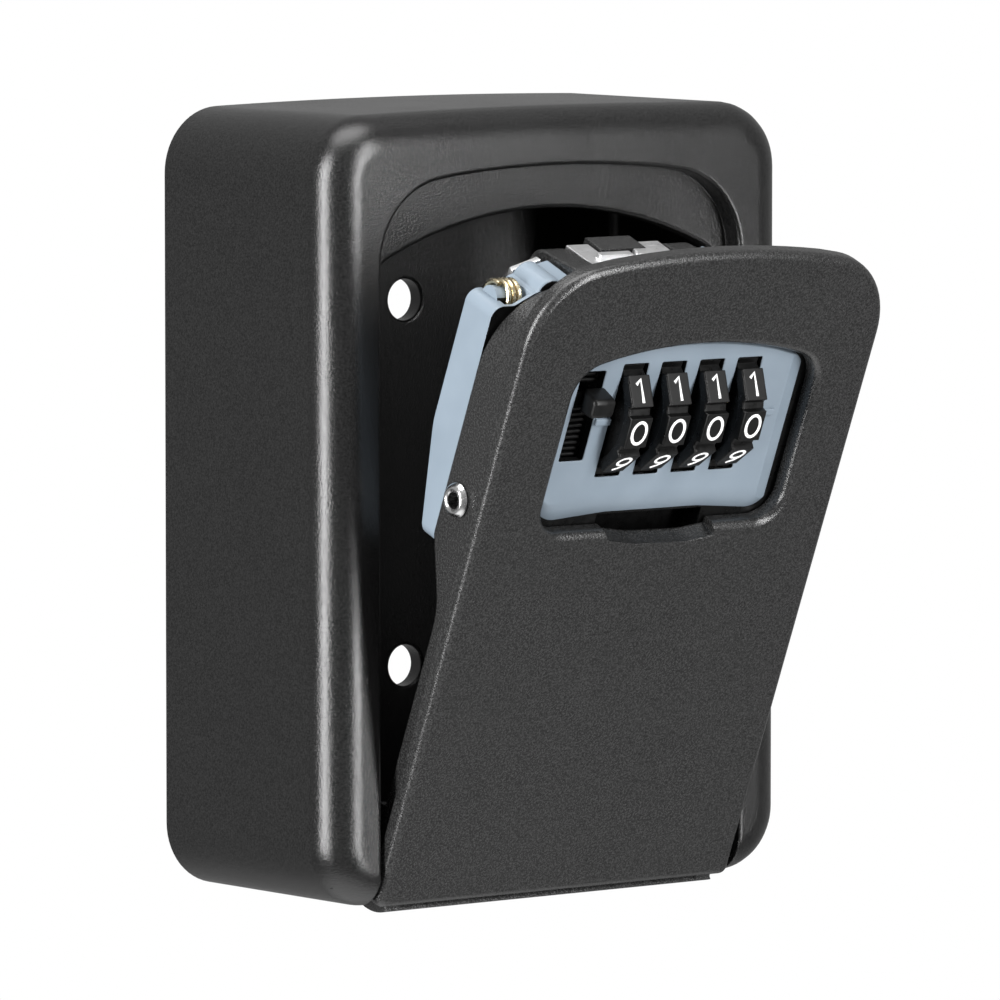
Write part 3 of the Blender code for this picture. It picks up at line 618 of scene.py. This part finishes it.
def case_casting():
    """The case, with every rim rounded and a solid block at each side of its foot for a hinge pin."""
    outline = arched(CASE_HALF, 0, CASE_HEIGHT, CASE_HALF**2 / (2 * CASE_CROWN), CASE_CORNER, CASE_CORNER)
    shell = lofted(outline, round_ends(-CASE_DEPTH, 0, FRONT_ROUNDING, 0.5, 8))
    inside = CASE_HALF - WALL
    ceiling = CASE_HEIGHT - WALL - CASE_CROWN
    cavity = rectangle((-inside, inside), (WALL, ceiling), 7)
    cut(shell, lofted(cavity, round_ends(-LEDGE_BACK, -BACK_WALL, 0.01, 2.5)))
    for side in (1, -1):
        pin_block = on_side(side, RECESS_HALF - 0.5, CASE_HALF - 3)
        add(shell, box(pin_block, (4 - CASE_DEPTH, -30), (3.2, 15)))
    recess = arched(RECESS_HALF, -5, RECESS_TOP, 200, 13)
    cut(shell, lofted(recess, flared(-CASE_DEPTH, -LEDGE_FRONT, 0.7)))
    opening = arched(OPENING_HALF, -5, OPENING_TOP, OPENING_ARCH, 4)
    cut(shell, lofted(opening, flared(-LEDGE_FRONT, 2 - LEDGE_BACK, 0.7)))
    y = HINGE["pos_m"][1] / MM
    z = HINGE["pos_m"][2] / MM - CASE_LOW.z
    cut(shell, rod(HEEL + 0.9, (-RECESS_HALF - 0.1, RECESS_HALF + 0.1), y, z))
    cut(shell, box((-OPENING_HALF, OPENING_HALF), (-LEDGE_BACK - 1, y + HEEL + 0.9), (-5, z)))
    for side in (-1, 1):
        hole = arc((0, CASE_HEIGHT / 2 + side * SCREW_SPREAD), SCREW_HOLE, 0, 360)[:-1]
        cut(shell, lofted(hole, flared(-BACK_WALL, 2, 0.5)))
        pin_hole = rod(HINGE_PIN + 0.15, on_side(side, RECESS_HALF - 1, RECESS_HALF + 5), y, z)
        cut(shell, pin_hole)
    shown(shell, "case_casting", CASE_COAT, "case", CASE_PLACE, ["case_shell"])


# ---- door -------------------------------------------------------------------------------------------


def window_head(half, top):
    """The corners of the window's arched top, from right to left."""
    shoulder = arch_height(half, top, OPENING_ARCH)
    crown = arch_points(top, OPENING_ARCH, half - 7, 20)
    return [(half, shoulder, 5.5)] + crown + [(-half, shoulder, 5.5)]


def about_window(corners):
    return [(u + WINDOW_X, v) for u, v in rounded(corners)]


def window_outline():
    """The window: an arched top and a foot with round corners."""
    foot = [(-WINDOW_HALF, WINDOW_FOOT, 4.5), (WINDOW_HALF, WINDOW_FOOT, 4.5)]
    return about_window(foot + window_head(WINDOW_HALF, WINDOW_TOP))


def finger_scoop():
    """The hollow for a fingertip under the window: its floor rises to the back, most of all in its middle."""
    foot = [(SCOOP_LEFT, 62.9, 2.0), (-4.0, 61.9, 14), (6.0, 61.7, 14), (SCOOP_RIGHT, 62.4, 0.3)]
    outline = about_window(foot + [(SCOOP_RIGHT, 66.0, 0.3), (SCOOP_LEFT, 66.0, 0.3)])
    steps, lowest = 6, 1.1
    levels = []
    for step in range(steps + 1):
        depth = (DOOR_THICK + 0.4) * step / steps - 0.2
        drop = lowest * (1 - (step / steps) ** 1.6)
        levels.append((depth, lambda out, drop=drop: drop * max(0, -out.y) ** 3))
    return lofted(outline, levels)


def bezel_outline():
    """The housing's front inside the window, with a foot that arches up in the middle."""
    half, foot = WINDOW_HALF - 0.4, WINDOW_FOOT + 0.6
    lower = [(-half, foot, 4.3), (-9, foot + 1.2, 20), (9, foot + 1.2, 20), (half, foot, 4.3)]
    return about_window(lower + window_head(half, WINDOW_TOP - 0.4))


def skirt():
    """The wall behind the plate: deep round the lock, shallow below it, and open along the top."""
    outside = arched(SKIRT_HALF, 2.5, SKIRT_TOP, OPENING_ARCH, 13)
    inside = arched(SKIRT_HALF - SKIRT_WALL, -1, SKIRT_TOP - SKIRT_WALL, OPENING_ARCH, 13 - SKIRT_WALL)
    wall = lofted(outside, round_ends(DOOR_THICK - 0.4, SKIRT_DEEP, 0.05, 0.5, 3))
    cut(wall, extruded(inside, (0, SKIRT_DEEP + 1)))
    past = SKIRT_DEEP + 1
    step = [(SKIRT_SHALLOW, 11, 0), (past, 11, 0), (past, 61, 0), (SKIRT_SHALLOW, 48, 12)]
    cut(wall, extruded(rounded(step), (-40, 40), SIDE_VIEW))
    gap = (LATCH_MIDDLE - ARM_FAR + 1, LATCH_MIDDLE + ARM_FAR - 1)
    return cut(wall, box(gap, (DOOR_THICK - 1, SKIRT_DEEP + 1), (90, 110)))


def heel():
    """The door's foot, curled back about the hinge axis, with a cheek at each end for a pin."""
    axis = (HINGE_Y, HINGE_Z)
    curl = arc(axis, HEEL, -128, 20, 4) + arc(axis, HEEL - HEEL_WALL, 20, -125, 4)
    lip = extruded(curl, (-SKIRT_HALF, SKIRT_HALF), SIDE_VIEW)
    cheek = arc(axis, HEEL - 0.1, -126, 126, 4)
    for side in (-1, 1):
        span = on_side(side, SKIRT_HALF - SKIRT_WALL - 0.6, SKIRT_HALF - 0.1)
        add(lip, extruded(cheek, span, SIDE_VIEW))
    return lip


def arm(side):
    """One of the two arms that reach back over the lock from the top of the door."""
    corners = [(DOOR_THICK - 0.4, 98.8, 0), (14, 98.8, 2), (19, 94.6, 2), (22.2, 93.8, 2.6)]
    corners += [(24.6, 97.4, 2.6), (22.6, 100, 2.6), (14, 100.9, 6), (DOOR_THICK - 0.4, 101.0, 0)]
    return extruded(rounded(corners), on_side(side, ARM_NEAR, ARM_FAR, LATCH_MIDDLE), SIDE_VIEW, 0.35)


def door_casting():
    """The door, with a rounded front edge and a soft rim round its window."""
    outline = arched(DOOR_HALF, DOOR_FOOT, DOOR_TOP, DOOR_ARCH, DOOR_CORNER, 1.5)
    panel = lofted(outline, round_ends(0, DOOR_THICK, 1.2, 0.3, 6))
    add(panel, skirt(), heel(), arm(-1), arm(1))
    window = lofted(window_outline(), flared(0, DOOR_THICK + 2, WINDOW_RIM, steps=8))
    cut(panel, window, finger_scoop())
    for side in (-1, 1):
        through_skirt = on_side(side, 28, 33)
        cut(panel, rod(HINGE_PIN + 0.3, through_skirt, HINGE_Y, HINGE_Z))
        cut(panel, rod(HOUSING_RIVET_HOLE, through_skirt, *HOUSING_RIVET))
        through_arm = on_side(side, ARM_NEAR - 1, ARM_FAR + 1, LATCH_MIDDLE)
        cut(panel, rod(ARM_RIVET_HOLE, through_arm, *ARM_RIVET))
    shown(panel, "door_casting", DOOR_COAT, "door", DOOR_PLACE, ["door_panel"])


# ---- lock housing -----------------------------------------------------------------------------------


def dial_places():
    first = DIAL_MIDDLE - DIAL_PITCH * (DIALS - 1) / 2
    return [first + DIAL_PITCH * i for i in range(DIALS)]


def bezel():
    """The front of the housing: its foot rolls back, its rim is broken, and its right side is chamfered."""
    drop, rim, foot, steps = 1.05, 0.4, 3.8, 12
    crest, chamfer_end = 19.3 + WINDOW_X, (25, BEZEL_Y + 1.9)
    levels = []
    for step in range(steps + 1):
        inset = 1 - step / steps
        growth = lambda out, inset=inset: -inset * (rim + foot * max(0, -out.y))
        levels.append((BEZEL_Y + drop * (step / steps) ** 2.2, growth))
    front = lofted(bezel_outline(), levels + [(DOOR_THICK + 1.2, 0)])
    wedge = [(crest, BEZEL_Y), chamfer_end, (25, 0), (crest, 0)]
    return cut(front, extruded(wedge, (60, 95), Matrix()))


def back_at(z):
    """The depth of the housing's back, which slopes forward below its knee."""
    return BODY_BACK - max(0, KNEE_Z - z) * KNEE_SLOPE


def behind(gap, foot, half):
    """All that is further back than the housing's back and a gap, from a foot up."""
    line = [(back_at(foot) + gap, foot, 0), (BODY_BACK + gap, KNEE_Z, 25), (BODY_BACK + gap, 110, 0)]
    return extruded(rounded(line + [(40, 110, 0), (40, foot, 0)]), (-half, half), SIDE_VIEW)


def back_outline():
    """The housing's rear part: an arched top between the springs, and a low wall outside each spring."""
    foot = [(-BODY_HALF, BODY_FOOT, 2), (BODY_HALF, BODY_FOOT, 2)]
    side = [(BODY_HALF, 95.6, 2.0), (27.4, 95.6, 1.2), (24.2, 97.4, 1.4)]
    other_side = [(-u, v, radius) for u, v, radius in reversed(side)]
    return rounded(foot + side + arch_points(BODY_TOP, OPENING_ARCH, 20, 20) + other_side)


def hollow_for_scoop(body):
    """Room in front for the fingertip, closed again behind and above it."""
    cut(body, box(on_side(1, -10.2, 10.2, WINDOW_X), (BEZEL_Y - 1, 8), (50, 64.7)))
    # The backing is coloured black plastic in lock_housing: painted shade.
    backing = on_side(1, -11.4, 11.4, WINDOW_X)
    add(body, box(backing, (7.6, 9.2), (58.1, 66.5)), box(backing, (3.1, 9.2), (64.7, 66.5)))


def fit_out(body):
    """The posts that the cover's screws go into, and two walls that carry the dials' shaft."""
    for side in (-1, 1):
        for z in POST_Z:
            add(body, rod(2.3, side * POST_X, (3.1, BODY_BACK), z, "y"))
            cut(body, rod(1.15, side * POST_X, (14, BODY_BACK + 1), z, "y"))
    for x in ((-15.8, -14.2), (17.3, 18.9)):
        add(body, box(x, (3.1, 13), (72, 92.5)))
    cut(body, rod(1.7, (-17.5, 20), DIAL_Y, DIAL_Z))


def lock_housing():
    """The housing: a front inside the door's skirt, a wider back, and the bezel in the window."""
    outline = arched(29.4, BODY_FOOT, 98.5, OPENING_ARCH, 12, 2)
    front = extruded(outline, (DOOR_THICK + 0.3, 13.0))
    back = lofted(back_outline(), round_ends(SKIRT_DEEP + 0.3, BODY_BACK, 0.05, 0.35))
    body = add(front, back, bezel())
    for side in (-1, 1):
        add(body, rod(2.6, LATCH_MIDDLE + side * 18.3, (SKIRT_DEEP + 0.3, BODY_BACK), 97.0, "y", 0.5))
    inside = (-BODY_INSIDE, BODY_INSIDE)
    cut(body, box(inside, (3.4, BODY_BACK + 1), BODY_INSIDE_Z))
    hollow_for_scoop(body)
    fit_out(body)
    open_front(body)
    open_top(body)
    cut(body, behind(0, BODY_FOOT - 1, 32))
    for side in (-1, 1):
        cut(body, rod(HOUSING_RIVET_HOLE, on_side(side, 26, 32), *HOUSING_RIVET))
    # The second slot, black plastic, colours the housing's dark gaps and hollows as painted shade.
    body.data.materials.append(HOUSING)
    body.data.materials.append(DIAL_PLASTIC_AND_SHADE)
    for face in body.data.polygons:
        face.material_index = int(painted_shade(face.center / MM, face.normal))
    shown(body, "lock_housing", HOUSING, "door", DOOR_PLACE, ["lock_body"])
    body.data.set_sharp_from_angle(angle=radians(CREST_ANGLE))


def painted_shade(place, normal):
    """Whether a point of the housing gets black plastic as painted shade: front faces behind the bezel's
    face, inside it, in its slots and behind the scoop.
    """
    # Front faces behind the bezel's face, seen in the window's gap: black as painted shade.
    if normal.y < -0.9 and place.y > 3.0:
        return True
    low, high = BODY_INSIDE_Z
    within = abs(place.x) < BODY_INSIDE + 0.1 and low - 0.1 < place.z < high + 0.1
    inside = within and place.y > BEZEL_Y + 0.05
    scoop = abs(place.x - WINDOW_X) < 11.5 and place.z < 66.6 and 3.0 < place.y < 9.3
    on_front = abs(normal.y) > 0.1 and place.y < 3.3
    return (inside or scoop) and not on_front


def open_front(body):
    """The slots for the dials and the slider, each with a broken edge, and the marks beside the dials."""
    for x in dial_places():
        reach = DIAL_WIDTH / 2 + 0.3
        slot = rectangle((x - reach, x + reach), (DIAL_Z - 9.4, DIAL_Z + 9.4), 0.3)
        cut(body, lofted(slot, flared(BEZEL_Y, 6, 0.15)))
        cut(body, box((x - reach, x + reach), (2.6, 5), (DIAL_Z - 10.2, DIAL_Z + 10.2)))
    cut(body, lofted(rectangle((-20.5, -15.9), (74.6, 89.5), 0.3), flared(BEZEL_Y, 6, 0.15)))
    for x in ((-15.7, -12.8), (14.3, 19.0)):
        add(body, box(x, (BEZEL_Y - 0.5, BEZEL_Y + 0.5), (80.5, 81.6), 0.2))


def open_top(body):
    """The way for the latch and the arms, and a notch at each side for a spring on its post."""
    latch_way = (LATCH_MIDDLE - ARM_FAR - 0.5, LATCH_MIDDLE + ARM_FAR + 0.5)
    cut(body, box(latch_way, (0, BODY_BACK + 1), (93.7, 105)))
    cut(body, box((-21.7, -9.3), (6.6, 8.9), (91.0, 105)))
    for side in (-1, 1):
        near, far = on_side(side, *SPRING_X)
        cut(body, box((near, far), (13.4, BODY_BACK + 1), (91.8, 105)))
        add(body, rod(1.9, (near - 0.5, far + 0.5), SPRING_Y, SPRING_Z))


def pan_head():
    """A pan-head screw with a cross recess, its axis along Z and its head up."""
    dome = [(2.2 * sin(a), 0.7 + 0.6 * cos(a)) for a in (pi / 2 * i / 6 for i in range(7))]
    screw = turned(dome + [(2.2, 0.1), (2.1, 0), (0.95, 0), (0.95, -7.2), (0, -7.2)])
    for turn in (0, pi / 2):
        blade = box((-1.25, 1.25), (-0.28, 0.28), (0.55, 2))
        moved(blade, Matrix.Rotation(turn, 4, "Z"))
        cut(screw, blade)
    return screw


def screws():
    places = [(side, z) for z in POST_Z for side in (-1, 1)]
    for i, (side, z) in enumerate(places, 1):
        place = Matrix.Translation(Vector((side * POST_X, COVER_BACK + 0.3, z)) * MM)
        spin = Matrix.Rotation(radians(37 * i), 4, "Z")
        screw = moved(pan_head(), place @ Matrix.Rotation(-pi / 2, 4, "X") @ spin)
        shown(screw, f"pan_screw_{i}", ZINC, "door", DOOR_PLACE, [f"cover_screw_{i}"])


def hollow_rivet(bore, shank, head, lip, length):
    """A hollow rivet along Z with a rolled head: its head stands on z = 0."""
    roll = [(bore + (head - bore) * i / 10, lip * sin(pi * (0.22 + 0.78 * i / 10))) for i in range(11)]
    return turned([(bore, -length), (bore, lip * 0.3)] + roll + [(head, 0), (shank, 0), (shank, -length)])


def rivets():
    y, z = HOUSING_RIVET
    for label, side in (("left", -1), ("right", 1)):
        rivet = hollow_rivet(1.3, 2.0, 2.7, 0.85, 5.2)
        moved(rivet, along_x(side, side * (SKIRT_HALF + 0.3), y, z))
        node = f"housing_rivet_{label}"
        shown(rivet, f"side_rivet_{label}", CHROME, "door", DOOR_PLACE, [node])
        small = hollow_rivet(0.6, 1.2, 1.9, 0.55, 4.3)
        moved(small, along_x(side, LATCH_MIDDLE + side * (ARM_FAR + 0.3), *ARM_RIVET))
        node = f"arm_rivet_{label}"
        shown(small, f"small_rivet_{label}", CHROME, "door", DOOR_PLACE, [node])


def springs():
    """Brass coils, each with a short leg down at its start."""
    radius, turns, steps, pitch = 2.5, 3, 32, 1.0
    for label, side in (("left", -1), ("right", 1)):
        start = side * (SPRING_X[0] + 0.75)
        points = [(start, SPRING_Y + radius, SPRING_Z - 2.3), (start, SPRING_Y + radius, SPRING_Z - 1.5)]
        for i in range(turns * steps + steps // 3):
            angle = 2 * pi * i / steps
            x = start + side * pitch * i / steps
            points.append((x, SPRING_Y + radius * cos(angle), SPRING_Z + radius * sin(angle)))
        node = f"torsion_spring_{label}"
        shown(wire(points, 0.42), f"coil_{label}", BRASS, "door", DOOR_PLACE, [node])


def hook():
    """The wire hook that a key ring hangs from."""
    start, bend, steps = COVER_BACK - 1.1, 2.4, 8
    path = [(0, 0), (2.5, 0)]
    for i in range(steps + 1):
        angle = pi / 2 * i / steps
        path.append((4.6 + bend * sin(angle), bend * (1 - cos(angle))))
    path += [(7.0, 5.0), (7.0, 7.5)]
    points = [(HOOK_X, start + back, HOOK_Z + up) for back, up in path]
    shown(wire(points, 1.1, sides=5), "hook_wire", CHROME, "door", DOOR_PLACE, ["key_hook"])


# ---- dials ------------------------------------------------------------------------------------------


def strokes(digit):
    """A digit's strokes as (points, closed), in a cell from -0.5 to 0.5 across and -0.7 to 0.7 high."""
    if digit == 0:
        return [([(0.5 * u, 0.68 * v) for u, v in arc((0, 0), 1, 0, 360, 12)[:-1]], True)]
    if digit == 1:
        return [([(-0.30, 0.38), (0.06, 0.68), (0.06, -0.7)], False)]
    if digit == 2:
        return [(arc((0, 0.27), 0.42, 160, -35, 12) + [(-0.44, -0.7), (0.46, -0.7)], False)]
    if digit == 3:
        return [(arc((0, 0.34), 0.35, 150, -90, 12) + arc((0, -0.31), 0.40, 75, -150, 12), False)]
    if digit == 4:
        return [([(0.2, -0.7), (0.2, 0.7), (-0.46, -0.3), (0.48, -0.3)], False)]
    if digit == 5:
        return [([(0.4, 0.7), (-0.3, 0.7), (-0.36, 0.06)] + arc((0, -0.24), 0.44, 130, -150, 12), False)]
    if digit == 6:
        tail = [(-0.38, 0.0), (-0.12, 0.42), (0.26, 0.7)]
        return [(arc((0, -0.27), 0.42, 0, 360, 12)[:-1], True), (tail, False)]
    if digit == 7:
        return [([(-0.45, 0.7), (0.45, 0.7), (-0.1, -0.7)], False)]
    if digit == 8:
        rings = [arc((0, 0.36), 0.32, 0, 360, 12)[:-1], arc((0, -0.29), 0.41, 0, 360, 12)[:-1]]
        return [(ring, True) for ring in rings]
    return [([(-u, -v) for u, v in points], closed) for points, closed in strokes(6)]


def dial_outline():
    """Ten raised facets with a groove between each two, seen along the axis. A facet faces the front."""
    groove = 0.92
    points = []
    for i in range(DIGITS):
        middle = 180 + i * 360 / DIGITS
        for offset, reach in ((-FACET_HALF, 1), (FACET_HALF, 1), (15.2, groove), (20.8, groove)):
            angle = radians(middle + offset)
            points.append((reach * DIAL_RADIUS * cos(angle), reach * DIAL_RADIUS * sin(angle)))
    return points


def dial_wheel():
    """A dial with a hole for its cam's sleeve, a ring sunk into each side, and facets of a duller black."""
    half = DIAL_WIDTH / 2
    wheel = lofted(dial_outline(), round_ends(-half, half, 0.3, 0.3, 3), SIDE_VIEW)
    cut(wheel, rod(SLEEVE, (-half - 1, half + 1), 0, 0))
    for side in (-1, 1):
        ring = rod(8.6, sorted((side * (half - 0.5), side * (half + 1))), 0, 0)
        cut(ring, rod(4.6, (-half - 2, half + 2), 0, 0))
        cut(wheel, ring)
    wheel.data.materials.append(DIAL_PLASTIC_AND_SHADE)
    wheel.data.materials.append(PAD_PLASTIC)
    pad = DIAL_RADIUS * cos(radians(FACET_HALF)) * MM
    for face in wheel.data.polygons:
        middle = Vector((0, face.center.y, face.center.z))
        face.material_index = int(middle.length > pad - 0.00005 and abs(face.normal.x) < 0.1)
    return wheel


def painted_digits():
    """The ten digits on the facets of a dial, raised by a hair."""
    size, stroke, sunk = 2.6, 0.33, 0.2
    apothem = DIAL_RADIUS * cos(radians(FACET_HALF)) - sunk
    marks = []
    for digit in range(DIGITS):
        turn = radians(digit * 360 / DIGITS)
        for points, closed in strokes(digit):
            flat = [(u * size, -apothem, v * size) for u, v in points]
            mark = wire(flat, stroke, closed, 2)
            marks.append(moved(mark, Matrix.Rotation(-turn, 4, "X")))
    return joined(marks)


def dials():
    for i, x in enumerate(dial_places(), 1):
        place = DOOR_PLACE @ Matrix.Translation(Vector((x, DIAL_Y, DIAL_Z)) * MM)
        body = f"dial_body_{i}"
        shown(dial_wheel(), f"dial_wheel_{i}", DIAL_PLASTIC_AND_SHADE, body, place, [f"dial_{i}"])
        shown(painted_digits(), f"dial_digits_{i}", WHITE, body, place)


# ---- latch ------------------------------------------------------------------------------------------


def slider():
    """The ribbed slider, which runs behind the housing's front, with its thumb block and a stem."""
    plate = box((-20.1, -16.2), (4.2, 5.3), (71.4, 89.0), 0.2)
    ribs, rib, pitch = 18, 0.5, 0.95
    for i in range(ribs):
        z = 71.8 + pitch * i
        add(plate, box((-20.05, -16.25), (3.7, 4.5), (z, z + rib), 0.15))
    thumb = [(4.6, 83.2, 0), (4.6, 86.8, 0), (0.6, 86.8, 1.2), (-1.6, 86.2, 0.8), (-1.6, 83.4, 0.5)]
    add(plate, extruded(rounded(thumb), (-20.0, -16.3), SIDE_VIEW, 0.3))
    grip = [(1.6, 83.1, 0), (1.6, 86.9, 0), (-1.7, 86.3, 0.9), (-1.7, 83.3, 0.9)]
    add(plate, extruded(rounded(grip), (-19.7, -15.5), SIDE_VIEW, 0.6))
    add(plate, box((-19.9, -16.6), (5.1, 6.6), (76.5, 84.5)))
    shown(plate, "slider", SLIDER_PLASTIC, "latch", DOOR_PLACE, ["slider_button"])


# ---- stage ------------------------------------------------------------------------------------------


def area_light(name, place, size, power):
    """A soft light that faces the box. Its place and size are in metres."""
    light = bpy.data.lights.new(name, "AREA")
    light.shape = "RECTANGLE"
    light.size, light.size_y = size
    light.energy = power
    lamp = bpy.data.objects.new(name, light)
    lamp.location = place
    lamp.rotation_euler = (MIDDLE - Vector(place)).to_track_quat("-Z", "Y").to_euler()
    bpy.context.scene.collection.objects.link(lamp)


def ground():
    """A pale floor well below the box, which hangs on its wall in use. It fades into the white round it."""
    shape = bmesh.new()
    bmesh.ops.create_circle(shape, cap_ends=True, radius=FLOOR_REACH, segments=96)
    bmesh.ops.translate(shape, verts=shape.verts, vec=(0, 0, CASE_LOW.z * MM - FLOOR_DROP))
    floor = object_of(shape, "ground")
    floor.data.materials.append(paper())


def studio():
    world = bpy.data.worlds.new("studio")
    bpy.context.scene.world = world
    world.use_nodes = True
    nodes, links = world.node_tree.nodes, world.node_tree.links
    seen = nodes.new("ShaderNodeLightPath").outputs["Is Camera Ray"]
    way = nodes.new("ShaderNodeSeparateXYZ")
    links.new(nodes.new("ShaderNodeTexCoord").outputs["Generated"], way.inputs["Vector"])
    height = nodes.new("ShaderNodeMapRange")
    height.inputs["From Min"].default_value = -1.0
    height.inputs["To Min"].default_value, height.inputs["To Max"].default_value = AMBIENT
    links.new(way.outputs["Z"], height.inputs["Value"])
    spread = nodes.new("ShaderNodeMapRange")
    spread.inputs["To Max"].default_value = 1.0
    links.new(height.outputs["Result"], spread.inputs["To Min"])
    links.new(seen, spread.inputs["Value"])
    links.new(spread.outputs["Result"], nodes["Background"].inputs["Strength"])
    nodes["Background"].inputs["Color"].default_value = (1, 1, 1, 1)
    bpy.context.scene.view_settings.view_transform = "Standard"
    area_light("left", (-0.89, -0.18, 0.12), (0.18, 1.0), 16.5)
    area_light("front", (0.26, -0.88, 0.16), (0.13, 1.0), 12.5)
    area_light("top", (-0.1, -0.15, 0.9), (0.8, 0.6), 7)


def camera():
    azimuth, elevation = radians(CAMERA_AZIMUTH), radians(CAMERA_ELEVATION)
    back = Vector((sin(azimuth) * cos(elevation), -cos(azimuth) * cos(elevation), sin(elevation)))
    data = bpy.data.cameras.new("camera")
    data.lens = CAMERA_LENS
    data.sensor_width = 36
    data.clip_start, data.clip_end = 0.05, 60
    eye = bpy.data.objects.new("camera", data)
    eye.location = CAMERA_TARGET + back * CAMERA_DISTANCE
    eye.rotation_euler = (-back).to_track_quat("-Z", "Y").to_euler()
    bpy.context.scene.collection.objects.link(eye)
    bpy.context.scene.camera = eye


case_casting()
door_casting()
lock_housing()
screws()
rivets()
springs()
hook()
dials()
slider()
refined("lock_cover", DOOR_COAT, 0.4)
refined("latch_plate", STEEL, 0.15)
refined("spring_bracket_left", STEEL, 0.15)
refined("spring_bracket_right", STEEL, 0.15)
refined("hinge_pin_left", ZINC, 0.3)
refined("hinge_pin_right", ZINC, 0.3)
refined("dial_shaft", STEEL, 0.2)
refined("detent_spring", STEEL)
refined("fence_comb", DARK_STEEL, 0.1)
refined("code_lever", SLIDER_PLASTIC, 0.3)
for number in range(1, DIALS + 1):
    refined(f"dial_cam_{number}", CAM_BRASS, 0.1)
ground()
studio()
camera()
